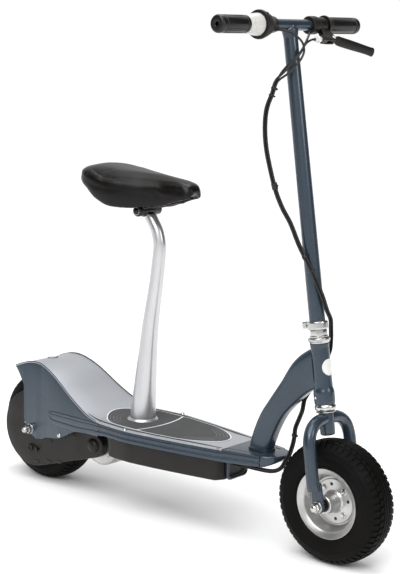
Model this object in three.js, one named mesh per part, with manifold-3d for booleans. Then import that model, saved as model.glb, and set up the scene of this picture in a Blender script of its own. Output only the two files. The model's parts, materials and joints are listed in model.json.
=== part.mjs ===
// A seated electric scooter, built as an assembly of its separate pieces.
// Millimetres. +X is forward, +Y is the rider's left and +Z is up. The origin lies on the ground,
// midway between the two wheel axles.
import * as THREE from "three";
import { mergeVertices } from "three/addons/utils/BufferGeometryUtils.js";
import Module from "manifold-3d";

const wasm = await Module();
wasm.setup();

// Overall sizes
const wheelbase = 812;
const barHeight = 1050;
const barLength = 428;
const rake = THREE.MathUtils.degToRad(9);
const forkOffset = 3;
const fit = 0.3; // clearance between a piece and what it sits in or on
const slack = 0.6; // wider clearance, past a corner or a bend
const overrun = 20; // how far a cutting tool passes the piece that it cuts

// Places along the scooter. The deck's front end follows the front tyre and its rear end follows the
// motor, which stands clear of the rear tyre.
const tyreRadius = 125;
const motorRadius = 50;
const frontAxleX = wheelbase / 2;
const rearAxleX = -wheelbase / 2;
const noseClearance = 2;
const noseTipX = frontAxleX - tyreRadius - noseClearance;
const noseTipLength = 34;
const railFrontX = noseTipX - noseTipLength;
const noseLead = 5;
const noseBaseX = railFrontX + noseLead;
const neckSetback = 61;
const neckBaseX = noseTipX - neckSetback;
const plateSetback = 86;
const plateFrontX = railFrontX - plateSetback;
const caseSetback = 95;
const caseFrontX = railFrontX - caseSetback;
const caseFrontTaper = 10;
const caseShoulderX = caseFrontX - caseFrontTaper;
const padMargin = 34;
const padFrontX = plateFrontX - padMargin;
const motorClearance = 24;
const motorX = rearAxleX + tyreRadius + motorRadius + motorClearance;
const mountRearReach = 38;
const mountRearX = motorX - mountRearReach;
const mountFrontReach = 35;
const mountFrontX = motorX + mountFrontReach;
const seamReach = 39;
const seamX = motorX + seamReach;
const railStepReach = 3;
const railStepX = seamX + railStepReach;
const caseRearReach = 26;
const caseRearX = seamX + caseRearReach;
const padTail = 29;
const padRearX = seamX - padTail;
const postReach = 52;
const postBaseX = seamX + postReach;
const padWaistReach = 50;
const padWaistX = postBaseX + padWaistReach;
const widestReach = 31;
const widestX = postBaseX + widestReach;
const clampReach = 6;
const clampX = postBaseX + clampReach;
const seatOverhang = 153;
const seatRearX = clampX - seatOverhang;
const bumperSetback = 91;
const bumperX = clampX - bumperSetback;
const straightReach = 36;
const straightX = rearAxleX + straightReach;
const railRearReach = 65;
const railRearX = rearAxleX + railRearReach;
const tailReach = 49;
const tailX = rearAxleX - tailReach;
const armPivotReach = 54;
const armPivotX = rearAxleX + armPivotReach;

// Facets of round pieces
const wheelFacets = 24;
const roundFacets = 16;
const smallFacets = 12;
const rodFacets = 8;
const cableFacets = 8;
const wireFacets = 6;
const hexFacets = 6;

// Wheels, as radii and as distances from the wheel's middle plane
const treadHalf = 15;
const shoulderRadius = 119.5;
const shoulderHalf = 29;
const sideRadius = 106;
const sideHalf = 38;
const tyreHalfWidth = 40;
const bulgeRadius = 91;
const tyreWall = 6;
const beadRadius = 61.6;
const beadHalf = 27.6;
const rimLipRadius = 71;
const rimLipHalf = 33;
const rimSheet = 2.5;
const wellRadius = 55;
const wellHalf = 10;
const webRadius = 50;
const webHalf = 2.5;
const hubRadius = 19;
const hubHalf = 42;
const hubFlangeRadius = 46;
const hubFlangeSheet = 3.5;
const hubNoseRadius = 9;
const axleRadius = 5;
const nutRadius = 10.5;
const nutHeight = 9;
const domeRadius = 7;
const washerRadius = 11.5;
const washerSheet = 2;
const frontDomeReach = 7;
const rearDomeReach = 13;

// Fork and steering column, as distances up the steering axis from the axle's level
const dropoutInner = 54;
const dropoutSheet = 5;
const dropoutRadius = 13;
const dropoutTop = 60;
const legRadius = 12.7;
const legWall = 2;
const legTrack = 67;
const legFoot = 34;
const tyreClearance = 11;
const crownBottom = tyreRadius + tyreClearance;
const crownRadius = 15;
const crownHeight = 42;
const crownTop = crownBottom + crownHeight;
const raceRadius = 20;
const raceHeight = 2.5;
const steererRadius = 12.7;
const steererBore = 10.2;
const steererPlug = 24;
const steererFloor = crownBottom + steererPlug;
const cupBore = 13.2;
const lowerCupRadius = 21.7;
const lowerCupHeight = 13;
const upperCupRadius = 22.5;
const upperCupHeight = 11;
const cupSpigot = 9;
const raceClearance = 0.7;
const headTubeBottom = crownTop + raceHeight + raceClearance + lowerCupHeight + fit;
const headTubeLength = 121;
const headTubeTop = headTubeBottom + headTubeLength;
const steererReach = 84.5;
const steererTop = headTubeTop + steererReach;
const headTubeRadius = 18.5;
const headTubeBore = 15.5;
const headRingRadius = 21;
const headRingHeight = 28.5;
const headRingSlope = 2;
const locknutRadius = 17.5;
const locknutHeight = 15.5;
const stemFootRadius = 15.9;
const stemTopRadius = 14;
const stemBore = 11.4;
const collarHeight = 16;
const collarRadius = 20;
const earReach = 33;
const earHalf = 6;
const earSlitHalf = 0.8;
const collarBoltRadius = 3;
const collarBoltHalf = 10;
const barRadius = 11.1;
const barWall = 2;

// Bar controls, as distances along the bar from its middle and radii about it
const gripRadius = 17;
const leftGripRadius = 16.5;
const gripCap = 5;
const gripCapHole = 4;
const gripRounding = 3;
const rightGripInner = 136.5;
const gripFlangeInner = 110;
const gripFlangeOuter = 115;
const gripFlangeRadius = 20;
const sleeveOuterRadius = 17.5;
const sleeveInnerRadius = 21.5;
const sleeveInner = 99.5;
const discRadius = 28;
const discWidth = 9;
const discSlopeRadius = 24;
const discSlopeWidth = 19;
const housingNeckRadius = 17;
const housingNeck = 62;
const housingEndRadius = 15.6;
const housingEnd = 52;
const switchInner = 60;
const switchOuter = 82;
const switchRadius = 18;

// Brake lever and its bracket, in a plane tilted down ahead of the bar
const leverTilt = THREE.MathUtils.degToRad(45);
const clampInner = 84;
const clampOuter = 108;
const clampRadius = 16;
const pivotAlong = 105;
const pivotReach = 38;
const pivotPinRadius = 2.5;
const bracketHalf = 6.5;
const bracketNoseInner = 66;
const bracketNoseHalf = 6;
const bracketReach = 46;
const bracketOuter = 112;
const adjusterInner = 48;
const adjusterRadius = 4.6;
const adjusterCollarRadius = 5.6;
const adjusterCollarInner = 56;
const adjusterBore = 2.8;
const adjusterBoreDepth = 6;
const leverEyeRadius = 7;
const leverEyeHalf = 3.2;
const bladeStart = 119;
const bladeTipAlong = 212;
const bladeTipReach = 74;
const bladeHalfDepth = 5;
const bladeHalfHeight = 6.2;
const bladeAlongShares = [0, 0.1, 0.36, 0.71, 0.93, 1];
const bladeReachShares = [0, 0.12, 0.36, 0.69, 0.92, 1];
const bladeSizeShares = [0.75, 1, 0.95, 0.9, 1, 0.6];

// Deck frame
const deckTop = 191;
const deckSheet = 3;
const deckHalfWidth = 95.5;
const tailHalfWidth = 66;
const noseHalfWidth = 40;
const frontTaperShare = 1.3;
const rearTaperShare = 1.2;
const railHeight = 24;
const railThickness = 14;
const railProud = 2;
const railGroove = 1.8;
const bandSheet = 1.7;
const railBandXShares = [0, 0.067, 0.2, 0.566, 0.986];
const railBlockXShares = [0, 0.063, 0.271, 0.47, 0.668, 0.867, 1];
const railRaisedXShares = [0.036, 0.52, 1];
const railTopShares = [
  0.62, 0.72, 0.78, 0.9, 1, 1, 1, 1,
  1, 1, 1, 1, 1.115, 1.115, 1.115,
];
const railBottomShares = [
  0.1, -0.42, -0.46, -0.42, -0.12, -0.12, 0, 0,
  0, 0, 0, 0, 0, 0.08, 0.16,
];
const noseXShares = [0, 0.05, 0.3, 0.5, 0.7, 0.86, 0.95, 1];
const noseWidthShares = [0.95, 0.96, 0.9, 0.8, 0.65, 0.46, 0.32, 0.18];
const noseRiseShares = [0.08, 0.1, 0.22, 0.33, 0.48, 0.64, 0.76, 0.83];
const noseChamfer = 5;

// Tail: fender sheet and side plates
const fenderClearance = 34;
const fenderCrest = tyreRadius * 2 + fenderClearance;
const fenderSheet = 2;
const fenderXShares = [
  0, 0.073, 0.174, 0.233, 0.282, 0.373, 0.453,
  0.54, 0.599, 0.672, 0.77, 0.864, 0.941, 1,
];
const fenderZShares = [
  0.806, 0.898, 0.985, 1, 0.99, 0.909, 0.8,
  0.645, 0.527, 0.387, 0.226, 0.09, 0.025, 0,
];
const sidePlateSheet = 3.5;
const sidePlateDrop = 21;
const sidePlateLowest = tyreRadius - sidePlateDrop;
const sideXShares = [
  0, 0.04, 0.07, 0.094, 0.096, 0.123, 0.127, 0.185,
  0.237, 0.307, 0.362, 0.512, 0.624, 0.7, 0.784, 1,
];
const sideZShares = [
  0.894, 0.811, 0.733, 0.678, 0.233, 0.15, 0.05, 0.039,
  0, 0.022, 0.061, 0.1, 0.183, 0.25, 0.289, 0.3,
];

// Neck between the deck and the head tube
const neckSeat = 72.4;
const neckSetbackTop = 7.4;
const neckDepth = 47;
const neckHalfWidth = 18;
const neckWall = 2.5;
const neckFlare = 6;
const neckSquareShare = 0.55;
const neckXShares = [0, 0, 0, 0.075, 0.164, 0.31, 0.54, 0.78, 1];
const neckZShares = [0, 0.026, 0.036, 0.187, 0.342, 0.48, 0.7, 0.89, 1];
const neckDepthShares = [1, 1, 1, 1.04, 1.04, 1, 1.16, 1.5, 1.75];
const neckFlareShares = [1, 1, 0, 0, 0, 0, 0, 0, 0];

// Grip pads on the deck
const padSheet = 1;
const padHalfWidth = 76;
const padBow = 14;
const padSplit = 4;
const padRearXShares = [0, 0.07, 0.2, 0.4, 0.65, 1];
const padRearWidthShares = [0.08, 0.36, 0.62, 0.86, 0.97, 1];
const padFrontXShares = [0, 0.3, 0.55, 0.75, 0.9, 1];
const padFrontWidthShares = [1, 0.93, 0.78, 0.56, 0.32, 0.06];

// Seat post and seat
const postBaseRadius = 29;
const postSweep = 42.5;
const postWall = 2.5;
const postXShares = [0, 0.42, 0.82, 0.93, 1, 0.84, 0.52, 0.27];
const postZShares = [0, 0.436, 0.678, 0.76, 0.836, 0.903, 0.95, 0.985];
const postRadiusShares = [1, 0.633, 0.512, 0.493, 0.469, 0.455, 0.448, 0.448];
const postFlangeRadius = 34;
const postFlangeHeight = 5;
const clampZ = 654;
const clampRollRadius = 12;
const clampRollHalf = 34;
const clampBoltRadius = 4;
const clampBoltHeadRadius = 7;
const clampBoltHead = 6;
const railRodRadius = 3.5;
const railRodRise = 10;
const railRodHalf = 22;
const railRearHalf = 34;
const railNoseHalfShare = 0.75;
const railTipHalf = 7;
const railNoseRise = 3.5;
const saddleRearReach = 112;
const saddleNoseReach = 100;
const seatLength = 290;
const seatHalfWidth = 82;
const seatTop = 748;
const seatDepth = 90;
const seatXShares = [
  0, 0.016, 0.06, 0.129, 0.238, 0.364, 0.505,
  0.63, 0.755, 0.881, 0.95, 0.984, 1,
];
const seatWidthShares = [
  0.32, 0.58, 0.82, 0.947, 1, 0.968, 0.8,
  0.59, 0.442, 0.379, 0.326, 0.253, 0.126,
];
const seatTopShares = [
  0.733, 0.911, 0.956, 0.933, 0.889, 0.85, 0.839,
  0.828, 0.8, 0.752, 0.683, 0.622, 0.533,
];
const seatBottomShares = [
  0.578, 0.556, 0.533, 0.444, 0.206, 0.061, 0.033,
  0.083, 0.133, 0.267, 0.322, 0.378, 0.444,
];
const seatCeilingShares = [
  0.644, 0.622, 0.6, 0.522, 0.4, 0.356, 0.34,
  0.322, 0.311, 0.344, 0.4, 0.456, 0.5,
];
const crownYShares = [0, 0.1, 0.2, 0.5, 0.78, 0.93, 1, 0.99, 0.95, 0.89, 0.83];
const crownZShares = [0.955, 0.965, 0.995, 1, 0.93, 0.8, 0.6, 0.3, 0.06, 0, 0.04];
const panSheet = 4;
const panMargin = 5;
const panRearShare = 0.1;
const panFrontShare = 0.9;
const bumperRadius = 9;
const bumperHalf = 53;
const bumperHeight = 16;

// Battery case and what it holds
const caseFrontHalf = 35;
const caseInset = 8;
const caseBottom = 118;
const caseWall = 3;
const caseTopGap = 0.3;
const batteryLong = 151;
const batteryWide = 94;
const batteryTall = 65;
const batteryGap = 3;
const controllerGap = 2;
const controllerLength = 30;
const controllerHalf = 30;
const controllerHeight = 42;
const hangerRadius = 3;
const hangerHalf = 31;
const hangerDrop = 44;
const hangerBend = 9;
const hangerGap = 1.2;

// Motor, chain drive and brake
const motorZ = 124.5;
const motorNearY = -43;
const motorFarY = 53;
const motorEdge = 4;
const motorShaftRadius = 4;
const mountSheet = 4;
const chainMiddleY = -48;
const chainHalf = 2;
const chainGap = 0.4;
const chainDepth = 5;
const chainPitch = 6.35;
const motorTeeth = 11;
const wheelTeeth = 55;
const toothDepth = 2.4;
const guardOuterY = -62.2;
const guardInnerY = -45.5;
const guardSheet = 2.5;
const guardRearRadius = 88;
const guardFrontRadius = 28;
const guardAxleHole = 14;
const guardBossRadius = 14;
const guardBossHeight = 10;
const lugRadius = 9;
const lugHeight = 4;
const lugDrop = 45;
const drumRadius = 38;
const drumWall = 3;
const drumOuterY = 57;
const bandHalfGapShare = 0.06;
const bandThickness = 2;
const bandAnchorReach = 8;
const armPivotRise = 27;
const armPivotZ = tyreRadius + armPivotRise;
const armPivotRadius = 4;
const armEyeRadius = 8;
const armLength = 38;
const armTilt = THREE.MathUtils.degToRad(60);
const armSheet = 3;
const armTipRadius = 5;

// Cables
const cableRadius = 2.2;
const cableSpacing = 2.5;

// Colours, roughness and metalness of the finishes
const LOOKS = {
  paint: [0x4a5864, 0.35, 0.5],
  silver: [0xc6c7ca, 0.35, 0.8],
  bright: [0xdadada, 0.2, 0.95],
  plastic: [0x3a3331, 0.55, 0],
  black: [0x151516, 0.6, 0],
  rubber: [0x1d1b1b, 0.85, 0],
  vinyl: [0x2a2422, 0.35, 0],
  grit: [0x565758, 0.95, 0],
  white: [0xe9e8e3, 0.45, 0],
};

const scooter = new THREE.Group();

// Solids

const vec = (x, y, z) => new THREE.Vector3(x, y, z);

function signedVolume(geometry) {
  const position = geometry.attributes.position;
  const index = geometry.index;
  const corner = [vec(0, 0, 0), vec(0, 0, 0), vec(0, 0, 0)];
  let volume = 0;
  for (let i = 0; i < index.count; i += corner.length) {
    corner.forEach((point, k) => point.fromBufferAttribute(position, index.getX(i + k)));
    volume += corner[0].dot(corner[1].cross(corner[2]));
  }
  return volume;
}

// A closed mesh with shared vertices, no empty faces and every face pointing out
function closed(geometry) {
  geometry.deleteAttribute("normal");
  geometry.deleteAttribute("uv");
  const merged = mergeVertices(geometry);
  const faces = [];
  const index = merged.index;
  for (let i = 0; i < index.count; i += 3) {
    const [a, b, c] = [index.getX(i), index.getX(i + 1), index.getX(i + 2)];
    if (a !== b && b !== c && c !== a) faces.push(a, b, c);
  }
  merged.setIndex(faces);
  if (signedVolume(merged) < 0) merged.setIndex(faces.reverse());
  merged.computeVertexNormals();
  return merged;
}

function toSolid(geometry) {
  const g = closed(geometry.clone());
  const mesh = new wasm.Mesh({
    numProp: 3,
    vertProperties: new Float32Array(g.attributes.position.array),
    triVerts: new Uint32Array(g.index.array),
  });
  return new wasm.Manifold(mesh);
}

function fromSolid(solid) {
  const mesh = solid.getMesh();
  const geometry = new THREE.BufferGeometry();
  geometry.setAttribute("position", new THREE.BufferAttribute(mesh.vertProperties, mesh.numProp));
  geometry.setIndex(new THREE.BufferAttribute(mesh.triVerts, 1));
  return closed(geometry);
}

const cut = (geometry, ...tools) =>
  fromSolid(tools.reduce((solid, tool) => solid.subtract(toSolid(tool)), toSolid(geometry)));

const join = (geometry, ...others) =>
  fromSolid(others.reduce((solid, other) => solid.add(toSolid(other)), toSolid(geometry)));

// A profile of [radius, height] points turned about +Z, starting and ending on the axis or closed
function turned(profile, facets = roundFacets) {
  const points = profile.map(([r, h]) => new THREE.Vector2(r, h));
  if (points[0].x > 0) points.push(points[0].clone());
  return closed(new THREE.LatheGeometry(points, facets).rotateX(Math.PI / 2));
}

// A ring between two radii and two heights, turned about +Z
const ring = (inner, outer, low, high, facets = roundFacets) =>
  turned([[inner, low], [outer, low], [outer, high], [inner, high]], facets);

// A rod between two heights on +Z
const rod = (radius, low, high, facets = roundFacets) =>
  turned([[0, low], [radius, low], [radius, high], [0, high]], facets);

// Lays a piece turned about +Z on the Y axis, so that its heights become y values
const acrossY = (geometry) => geometry.rotateX(-Math.PI / 2);

// The mirror image of a piece on the other side of the middle plane
const mirrored = (geometry) => closed(geometry.clone().scale(1, -1, 1));

const moved = (geometry, x, y, z) => geometry.clone().translate(x, y, z);

// A plate with an outline of [x, z] points between two y values
function plateXZ(outline, nearY, farY, holes = []) {
  const shape = new THREE.Shape(outline.map(([x, z]) => new THREE.Vector2(x, z)));
  shape.holes = holes.map((hole) => new THREE.Path(hole.map(([x, z]) => new THREE.Vector2(x, z))));
  const options = { depth: farY - nearY, bevelEnabled: false, steps: 1 };
  const geometry = new THREE.ExtrudeGeometry(shape, options);
  return closed(geometry.rotateX(Math.PI / 2).translate(0, farY, 0));
}

// A plate with an outline of [x, y] points between two heights
function plateXY(outline, low, high) {
  const shape = new THREE.Shape(outline.map(([x, y]) => new THREE.Vector2(x, y)));
  const options = { depth: high - low, bevelEnabled: false, steps: 1 };
  return closed(new THREE.ExtrudeGeometry(shape, options).translate(0, 0, low));
}

function box(x0, x1, y0, y1, z0, z1) {
  const geometry = new THREE.BoxGeometry(x1 - x0, y1 - y0, z1 - z0);
  return closed(geometry.translate((x0 + x1) / 2, (y0 + y1) / 2, (z0 + z1) / 2));
}

function fromFaces(points, faces) {
  const geometry = new THREE.BufferGeometry().setFromPoints(points);
  geometry.setIndex(faces);
  return closed(geometry);
}

// The faces between ring i and ring j, each of count points
function band(i, j, count) {
  const faces = [];
  for (let k = 0; k < count; k++) {
    const [a, b] = [i * count + k, i * count + ((k + 1) % count)];
    const [c, d] = [j * count + k, j * count + ((k + 1) % count)];
    faces.push(a, b, d, a, d, c);
  }
  return faces;
}

const middle = (points) =>
  points.reduce((sum, p) => sum.add(p), vec(0, 0, 0)).divideScalar(points.length);

// A skin through rings of equally many points, with a fan over each end
function loft(rings) {
  const count = rings[0].length;
  const last = rings.length - 1;
  const points = [...rings.flat(), middle(rings[0]), middle(rings[last])];
  const faces = [];
  for (let i = 0; i < last; i++) faces.push(...band(i, i + 1, count));
  const [startHub, endHub] = [points.length - 2, points.length - 1];
  for (let k = 0; k < count; k++) {
    const next = (k + 1) % count;
    faces.push(startHub, next, k, endHub, last * count + k, last * count + next);
  }
  return fromFaces(points, faces);
}

// A tube wall between outer rings and inner rings, open at both ends
function sleeve(outer, inner) {
  const rings = [...outer, ...inner.slice().reverse()];
  const faces = [];
  rings.forEach((_, i) => faces.push(...band(i, (i + 1) % rings.length, rings[0].length)));
  return fromFaces(rings.flat(), faces);
}

// A sheet between two grids of points, each a list of equally long rows
function sheet(upper, lower) {
  const [rows, columns] = [upper.length, upper[0].length];
  const at = (layer, i, j) => (layer * rows + i) * columns + j;
  const faces = [];
  const quad = (a, b, c, d) => faces.push(a, b, c, a, c, d);
  for (let i = 0; i < rows - 1; i++) {
    for (let j = 0; j < columns - 1; j++) {
      quad(at(0, i, j), at(0, i + 1, j), at(0, i + 1, j + 1), at(0, i, j + 1));
      quad(at(1, i, j), at(1, i, j + 1), at(1, i + 1, j + 1), at(1, i + 1, j));
    }
    quad(at(0, i, 0), at(1, i, 0), at(1, i + 1, 0), at(0, i + 1, 0));
    const end = columns - 1;
    quad(at(0, i, end), at(0, i + 1, end), at(1, i + 1, end), at(1, i, end));
  }
  for (let j = 0; j < columns - 1; j++) {
    const end = rows - 1;
    quad(at(0, 0, j), at(0, 0, j + 1), at(1, 0, j + 1), at(1, 0, j));
    quad(at(0, end, j), at(1, end, j), at(1, end, j + 1), at(0, end, j + 1));
  }
  return fromFaces([...upper.flat(), ...lower.flat()], faces);
}

function circle(radius, sides) {
  const turn = (i) => (i / sides) * Math.PI * 2;
  const points = Array.from({ length: sides }, (_, i) => turn(i));
  return points.map((a) => new THREE.Vector2(radius * Math.cos(a), radius * Math.sin(a)));
}

// A round rod, or a tube with a bore, along a smooth curve through points
function bentRod(points, radius, steps, sides, bore = 0) {
  const section = new THREE.Shape(circle(radius, sides));
  if (bore > 0) section.holes.push(new THREE.Path(circle(bore, sides)));
  const extrudePath = new THREE.CatmullRomCurve3(points, false, "centripetal");
  const options = { steps, bevelEnabled: false, extrudePath };
  return closed(new THREE.ExtrudeGeometry(section, options));
}

// The outline round two circles, as [x, z] points with an arc about each centre
function beltOutline(centreA, radiusA, centreB, radiusB, arcSteps) {
  const [dx, dz] = [centreB[0] - centreA[0], centreB[1] - centreA[1]];
  const heading = Math.atan2(dz, dx);
  const lean = Math.acos((radiusA - radiusB) / Math.hypot(dx, dz));
  const points = [];
  for (let i = 0; i <= arcSteps; i++) {
    const a = heading + lean + (i / arcSteps) * 2 * (Math.PI - lean);
    points.push([centreA[0] + radiusA * Math.cos(a), centreA[1] + radiusA * Math.sin(a)]);
  }
  for (let i = 0; i <= arcSteps; i++) {
    const a = heading - lean + (i / arcSteps) * 2 * lean;
    points.push([centreB[0] + radiusB * Math.cos(a), centreB[1] + radiusB * Math.sin(a)]);
  }
  return points;
}

// The value at share t of a broken line through values at shares
function along(shares, values, t) {
  const i = Math.max(1, shares.findIndex((share) => share >= t));
  const u = (t - shares[i - 1]) / (shares[i] - shares[i - 1]);
  return values[i - 1] + (values[i] - values[i - 1]) * u;
}

function piece(name, geometry, look, parent = scooter) {
  const [color, roughness, metalness] = LOOKS[look];
  const material = new THREE.MeshStandardMaterial({ color, roughness, metalness });
  const mesh = new THREE.Mesh(geometry, material);
  mesh.name = name;
  parent.add(mesh);
  return mesh;
}

// Frames that the assemblies share

// The steering axis leans back by the rake, and the front axle lies forkOffset ahead of it.
// In this group X is the distance ahead of the axis and Z the distance up it.
const steering = new THREE.Group();
steering.rotation.y = -rake;
steering.position.set(
  frontAxleX - forkOffset * Math.cos(rake),
  0,
  tyreRadius - forkOffset * Math.sin(rake),
);
steering.updateMatrix();
scooter.add(steering);
const barUp = (barHeight - steering.position.z) / Math.cos(rake);
const barX = steering.position.x - barUp * Math.sin(rake);
const alongSteering = (geometry) => geometry.clone().applyMatrix4(steering.matrix);

// Pieces on the bar are turned about it, with their heights as y values
const bar = new THREE.Group();
bar.position.set(barX, 0, barHeight);
scooter.add(bar);

// Pieces of the brake lever lie in a plane that drops ahead of the bar
const leverPlane = new THREE.Group();
leverPlane.position.copy(bar.position);
leverPlane.rotation.y = leverTilt;
scooter.add(leverPlane);

// Wheels and their axles, drawn as [radius, y] profiles about the axle

// The other half of a profile, past the wheel's middle plane
const otherHalf = (points) => points.map(([r, y]) => [r, -y]).reverse();

function tyre() {
  const facetCorner = 1 / Math.cos(Math.PI / wheelFacets);
  const outer = [
    [beadRadius, beadHalf - tyreWall],
    [beadRadius, beadHalf],
    [rimLipRadius + fit, rimLipHalf - rimSheet - fit],
    [bulgeRadius, tyreHalfWidth],
    [sideRadius, sideHalf],
    [shoulderRadius, shoulderHalf],
    [tyreRadius * facetCorner, treadHalf],
  ];
  const inner = [
    [tyreRadius - tyreWall, treadHalf - tyreWall / 2],
    [sideRadius, sideHalf - tyreWall],
    [rimLipRadius, beadHalf - tyreWall / 2],
  ];
  return [...outer, ...otherHalf(outer), ...otherHalf(inner), ...inner];
}

function rim() {
  const half = [
    [axleRadius + hubRadius / 2, webHalf],
    [webRadius, webHalf],
    [wellRadius - rimSheet, wellHalf],
    [beadRadius - slack - rimSheet, beadHalf],
    [rimLipRadius - rimSheet, rimLipHalf],
    [rimLipRadius, rimLipHalf],
    [rimLipRadius, rimLipHalf - rimSheet],
    [beadRadius - slack, beadHalf],
    [wellRadius, wellHalf],
  ];
  return [...half, ...otherHalf(half)];
}

// The hub barrel with its flange against the web and a nose that reaches the frame each side
function hub(noseEnd) {
  const bore = axleRadius + fit;
  const end = [[hubRadius, hubHalf], [hubNoseRadius, hubHalf], [hubNoseRadius, noseEnd], [bore, noseEnd]];
  const flange = [[hubFlangeRadius, -webHalf - hubFlangeSheet], [hubFlangeRadius, 0], [hubRadius, 0]];
  const nearBarrel = [[hubRadius, -webHalf - hubFlangeSheet]];
  return [...otherHalf(end), ...nearBarrel, ...flange, ...end];
}

// Half a facet of turn puts a flat of the tread on the ground
const onAxle = (geometry) => acrossY(geometry).rotateY(Math.PI / wheelFacets);

function wheel(prefix, centreX, noseEnd) {
  const group = new THREE.Group();
  group.position.set(centreX, 0, tyreRadius);
  scooter.add(group);
  const rimAndHub = join(
    onAxle(turned(rim(), wheelFacets)),
    acrossY(turned(hub(noseEnd), smallFacets)),
  );
  piece(`${prefix}_rim`, rimAndHub, "silver", group);
  piece(`${prefix}_tyre`, onAxle(turned(tyre(), wheelFacets)), "rubber", group);
  return group;
}

// A washer, a hexagon nut and its dome, seated on a face at y = seat and facing +Y
function domeNut(seat, domeReach, bore = 0) {
  const washerTop = seat + washerSheet;
  const nutTop = washerTop + nutHeight;
  const washer = rod(washerRadius, seat, washerTop, smallFacets);
  const nut = rod(nutRadius, washerTop - washerSheet / 2, nutTop, hexFacets);
  const domeShares = [[0, -0.2], [1, -0.2], [1, 0.3], [0.85, 0.7], [0.5, 0.95], [0, 1]];
  const dome = domeShares.map(([r, h]) => [r * domeRadius, nutTop + h * domeReach]);
  const whole = join(washer, nut, turned(dome, rodFacets));
  if (bore === 0) return acrossY(whole);
  return acrossY(cut(whole, rod(bore, seat - overrun, nutTop, rodFacets)));
}

function axleRod(nearY, farY) {
  return acrossY(rod(axleRadius, nearY, farY, rodFacets));
}

const frontSeat = dropoutInner + dropoutSheet + fit;
const rearSeat = tailHalfWidth + fit;
wheel("front", frontAxleX, dropoutInner - fit);
const rearWheel = wheel("rear", rearAxleX, tailHalfWidth - sidePlateSheet - fit);

function axles() {
  const frontNut = domeNut(frontSeat, frontDomeReach);
  const front = join(axleRod(-frontSeat - nutHeight, frontSeat + nutHeight), frontNut, mirrored(frontNut));
  piece("front_axle", moved(front, frontAxleX, 0, tyreRadius), "bright");
  const rearRodEnd = rearSeat + washerSheet + nutHeight / 2;
  const rear = join(axleRod(-rearRodEnd, rearRodEnd), domeNut(rearSeat, rearDomeReach));
  piece("rear_axle", moved(rear, rearAxleX, 0, tyreRadius), "bright");
  const nut = mirrored(domeNut(rearSeat, rearDomeReach, axleRadius + fit));
  piece("rear_axle_nut", moved(nut, rearAxleX, 0, tyreRadius), "bright");
}
axles();

// Fork and steering column

function forkLeg() {
  const trackShares = [0.15, 0.45, 0.72, 0.9, 0.985, 1, 1, 1];
  const heightShares = [1, 0.99, 0.93, 0.83, 0.7, 0.56, 0.2, 0];
  const bowShares = [0, 0.3, 0.35, 0.7, 0.85, 1, 1, 1];
  const legTop = crownTop - legRadius - fit;
  const points = trackShares.map((share, i) =>
    vec(bowShares[i] * forkOffset, share * legTrack, legFoot + heightShares[i] * (legTop - legFoot)),
  );
  const leg = bentRod(points, legRadius, 11, rodFacets, legRadius - legWall);
  const foot = [forkOffset, dropoutTop - legRadius];
  const outline = beltOutline([forkOffset, 0], dropoutRadius, foot, legRadius, 6);
  const dropout = plateXZ(outline, dropoutInner, dropoutInner + dropoutSheet);
  const axleHole = acrossY(rod(axleRadius + fit, 0, legTrack + overrun, rodFacets));
  const crown = rod(crownRadius + fit, crownBottom - overrun, crownTop + overrun);
  return cut(join(leg, dropout), axleHole.translate(forkOffset, 0, 0), crown);
}

// The steerer is closed at its foot and open at its top
function steerer() {
  return turned([
    [0, crownBottom],
    [crownRadius, crownBottom],
    [crownRadius, crownTop],
    [raceRadius, crownTop],
    [raceRadius, crownTop + raceHeight],
    [steererRadius, crownTop + raceHeight],
    [steererRadius, steererTop],
    [steererBore, steererTop],
    [steererBore, steererFloor],
    [0, steererFloor],
  ]);
}

const upperCupTop = headTubeTop + fit + upperCupHeight;
const locknutBottom = upperCupTop + fit;
const stemBottom = locknutBottom + locknutHeight + fit;

function steeringColumn() {
  piece("fork_steerer", steerer(), "paint", steering);
  piece("fork_leg_left", forkLeg(), "paint", steering);
  piece("fork_leg_right", mirrored(forkLeg()), "paint", steering);
  const nutBore = steererRadius + fit;
  const locknutTop = locknutBottom + locknutHeight;
  piece("headset_locknut", ring(nutBore, locknutRadius, locknutBottom, locknutTop), "bright", steering);
  const overlapTop = steererTop + fit;
  const stem = turned([
    [nutBore, stemBottom],
    [stemFootRadius, stemBottom],
    [stemTopRadius, barUp],
    [stemBore, barUp],
    [stemBore, overlapTop],
    [nutBore, overlapTop],
  ]);
  const barSeat = acrossY(rod(barRadius + fit, -overrun, overrun)).translate(0, 0, barUp);
  piece("stem", cut(stem, barSeat), "paint", steering);
  piece("stem_collar", stemCollar(), "bright", steering);
}

// A clamp ring with two ears behind it, a slit between them and a bolt across them
function stemCollar() {
  const top = stemBottom + collarHeight;
  const bore = stemFootRadius + fit;
  const band = rod(collarRadius, stemBottom, top);
  const ears = box(-earReach, 0, -earHalf, earHalf, stemBottom + fit, top - fit);
  const hole = rod(bore, stemBottom - overrun, top + overrun);
  const slit = box(-earReach - overrun, 0, -earSlitHalf, earSlitHalf, stemBottom - overrun, top + overrun);
  const bolt = acrossY(rod(collarBoltRadius, -collarBoltHalf, collarBoltHalf, rodFacets));
  const boltX = (collarRadius + earReach) / 2;
  return join(cut(join(band, ears), hole, slit), bolt.translate(-boltX, 0, (stemBottom + top) / 2));
}
steeringColumn();

// Head tube and the bearing cups pressed into its ends

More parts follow.
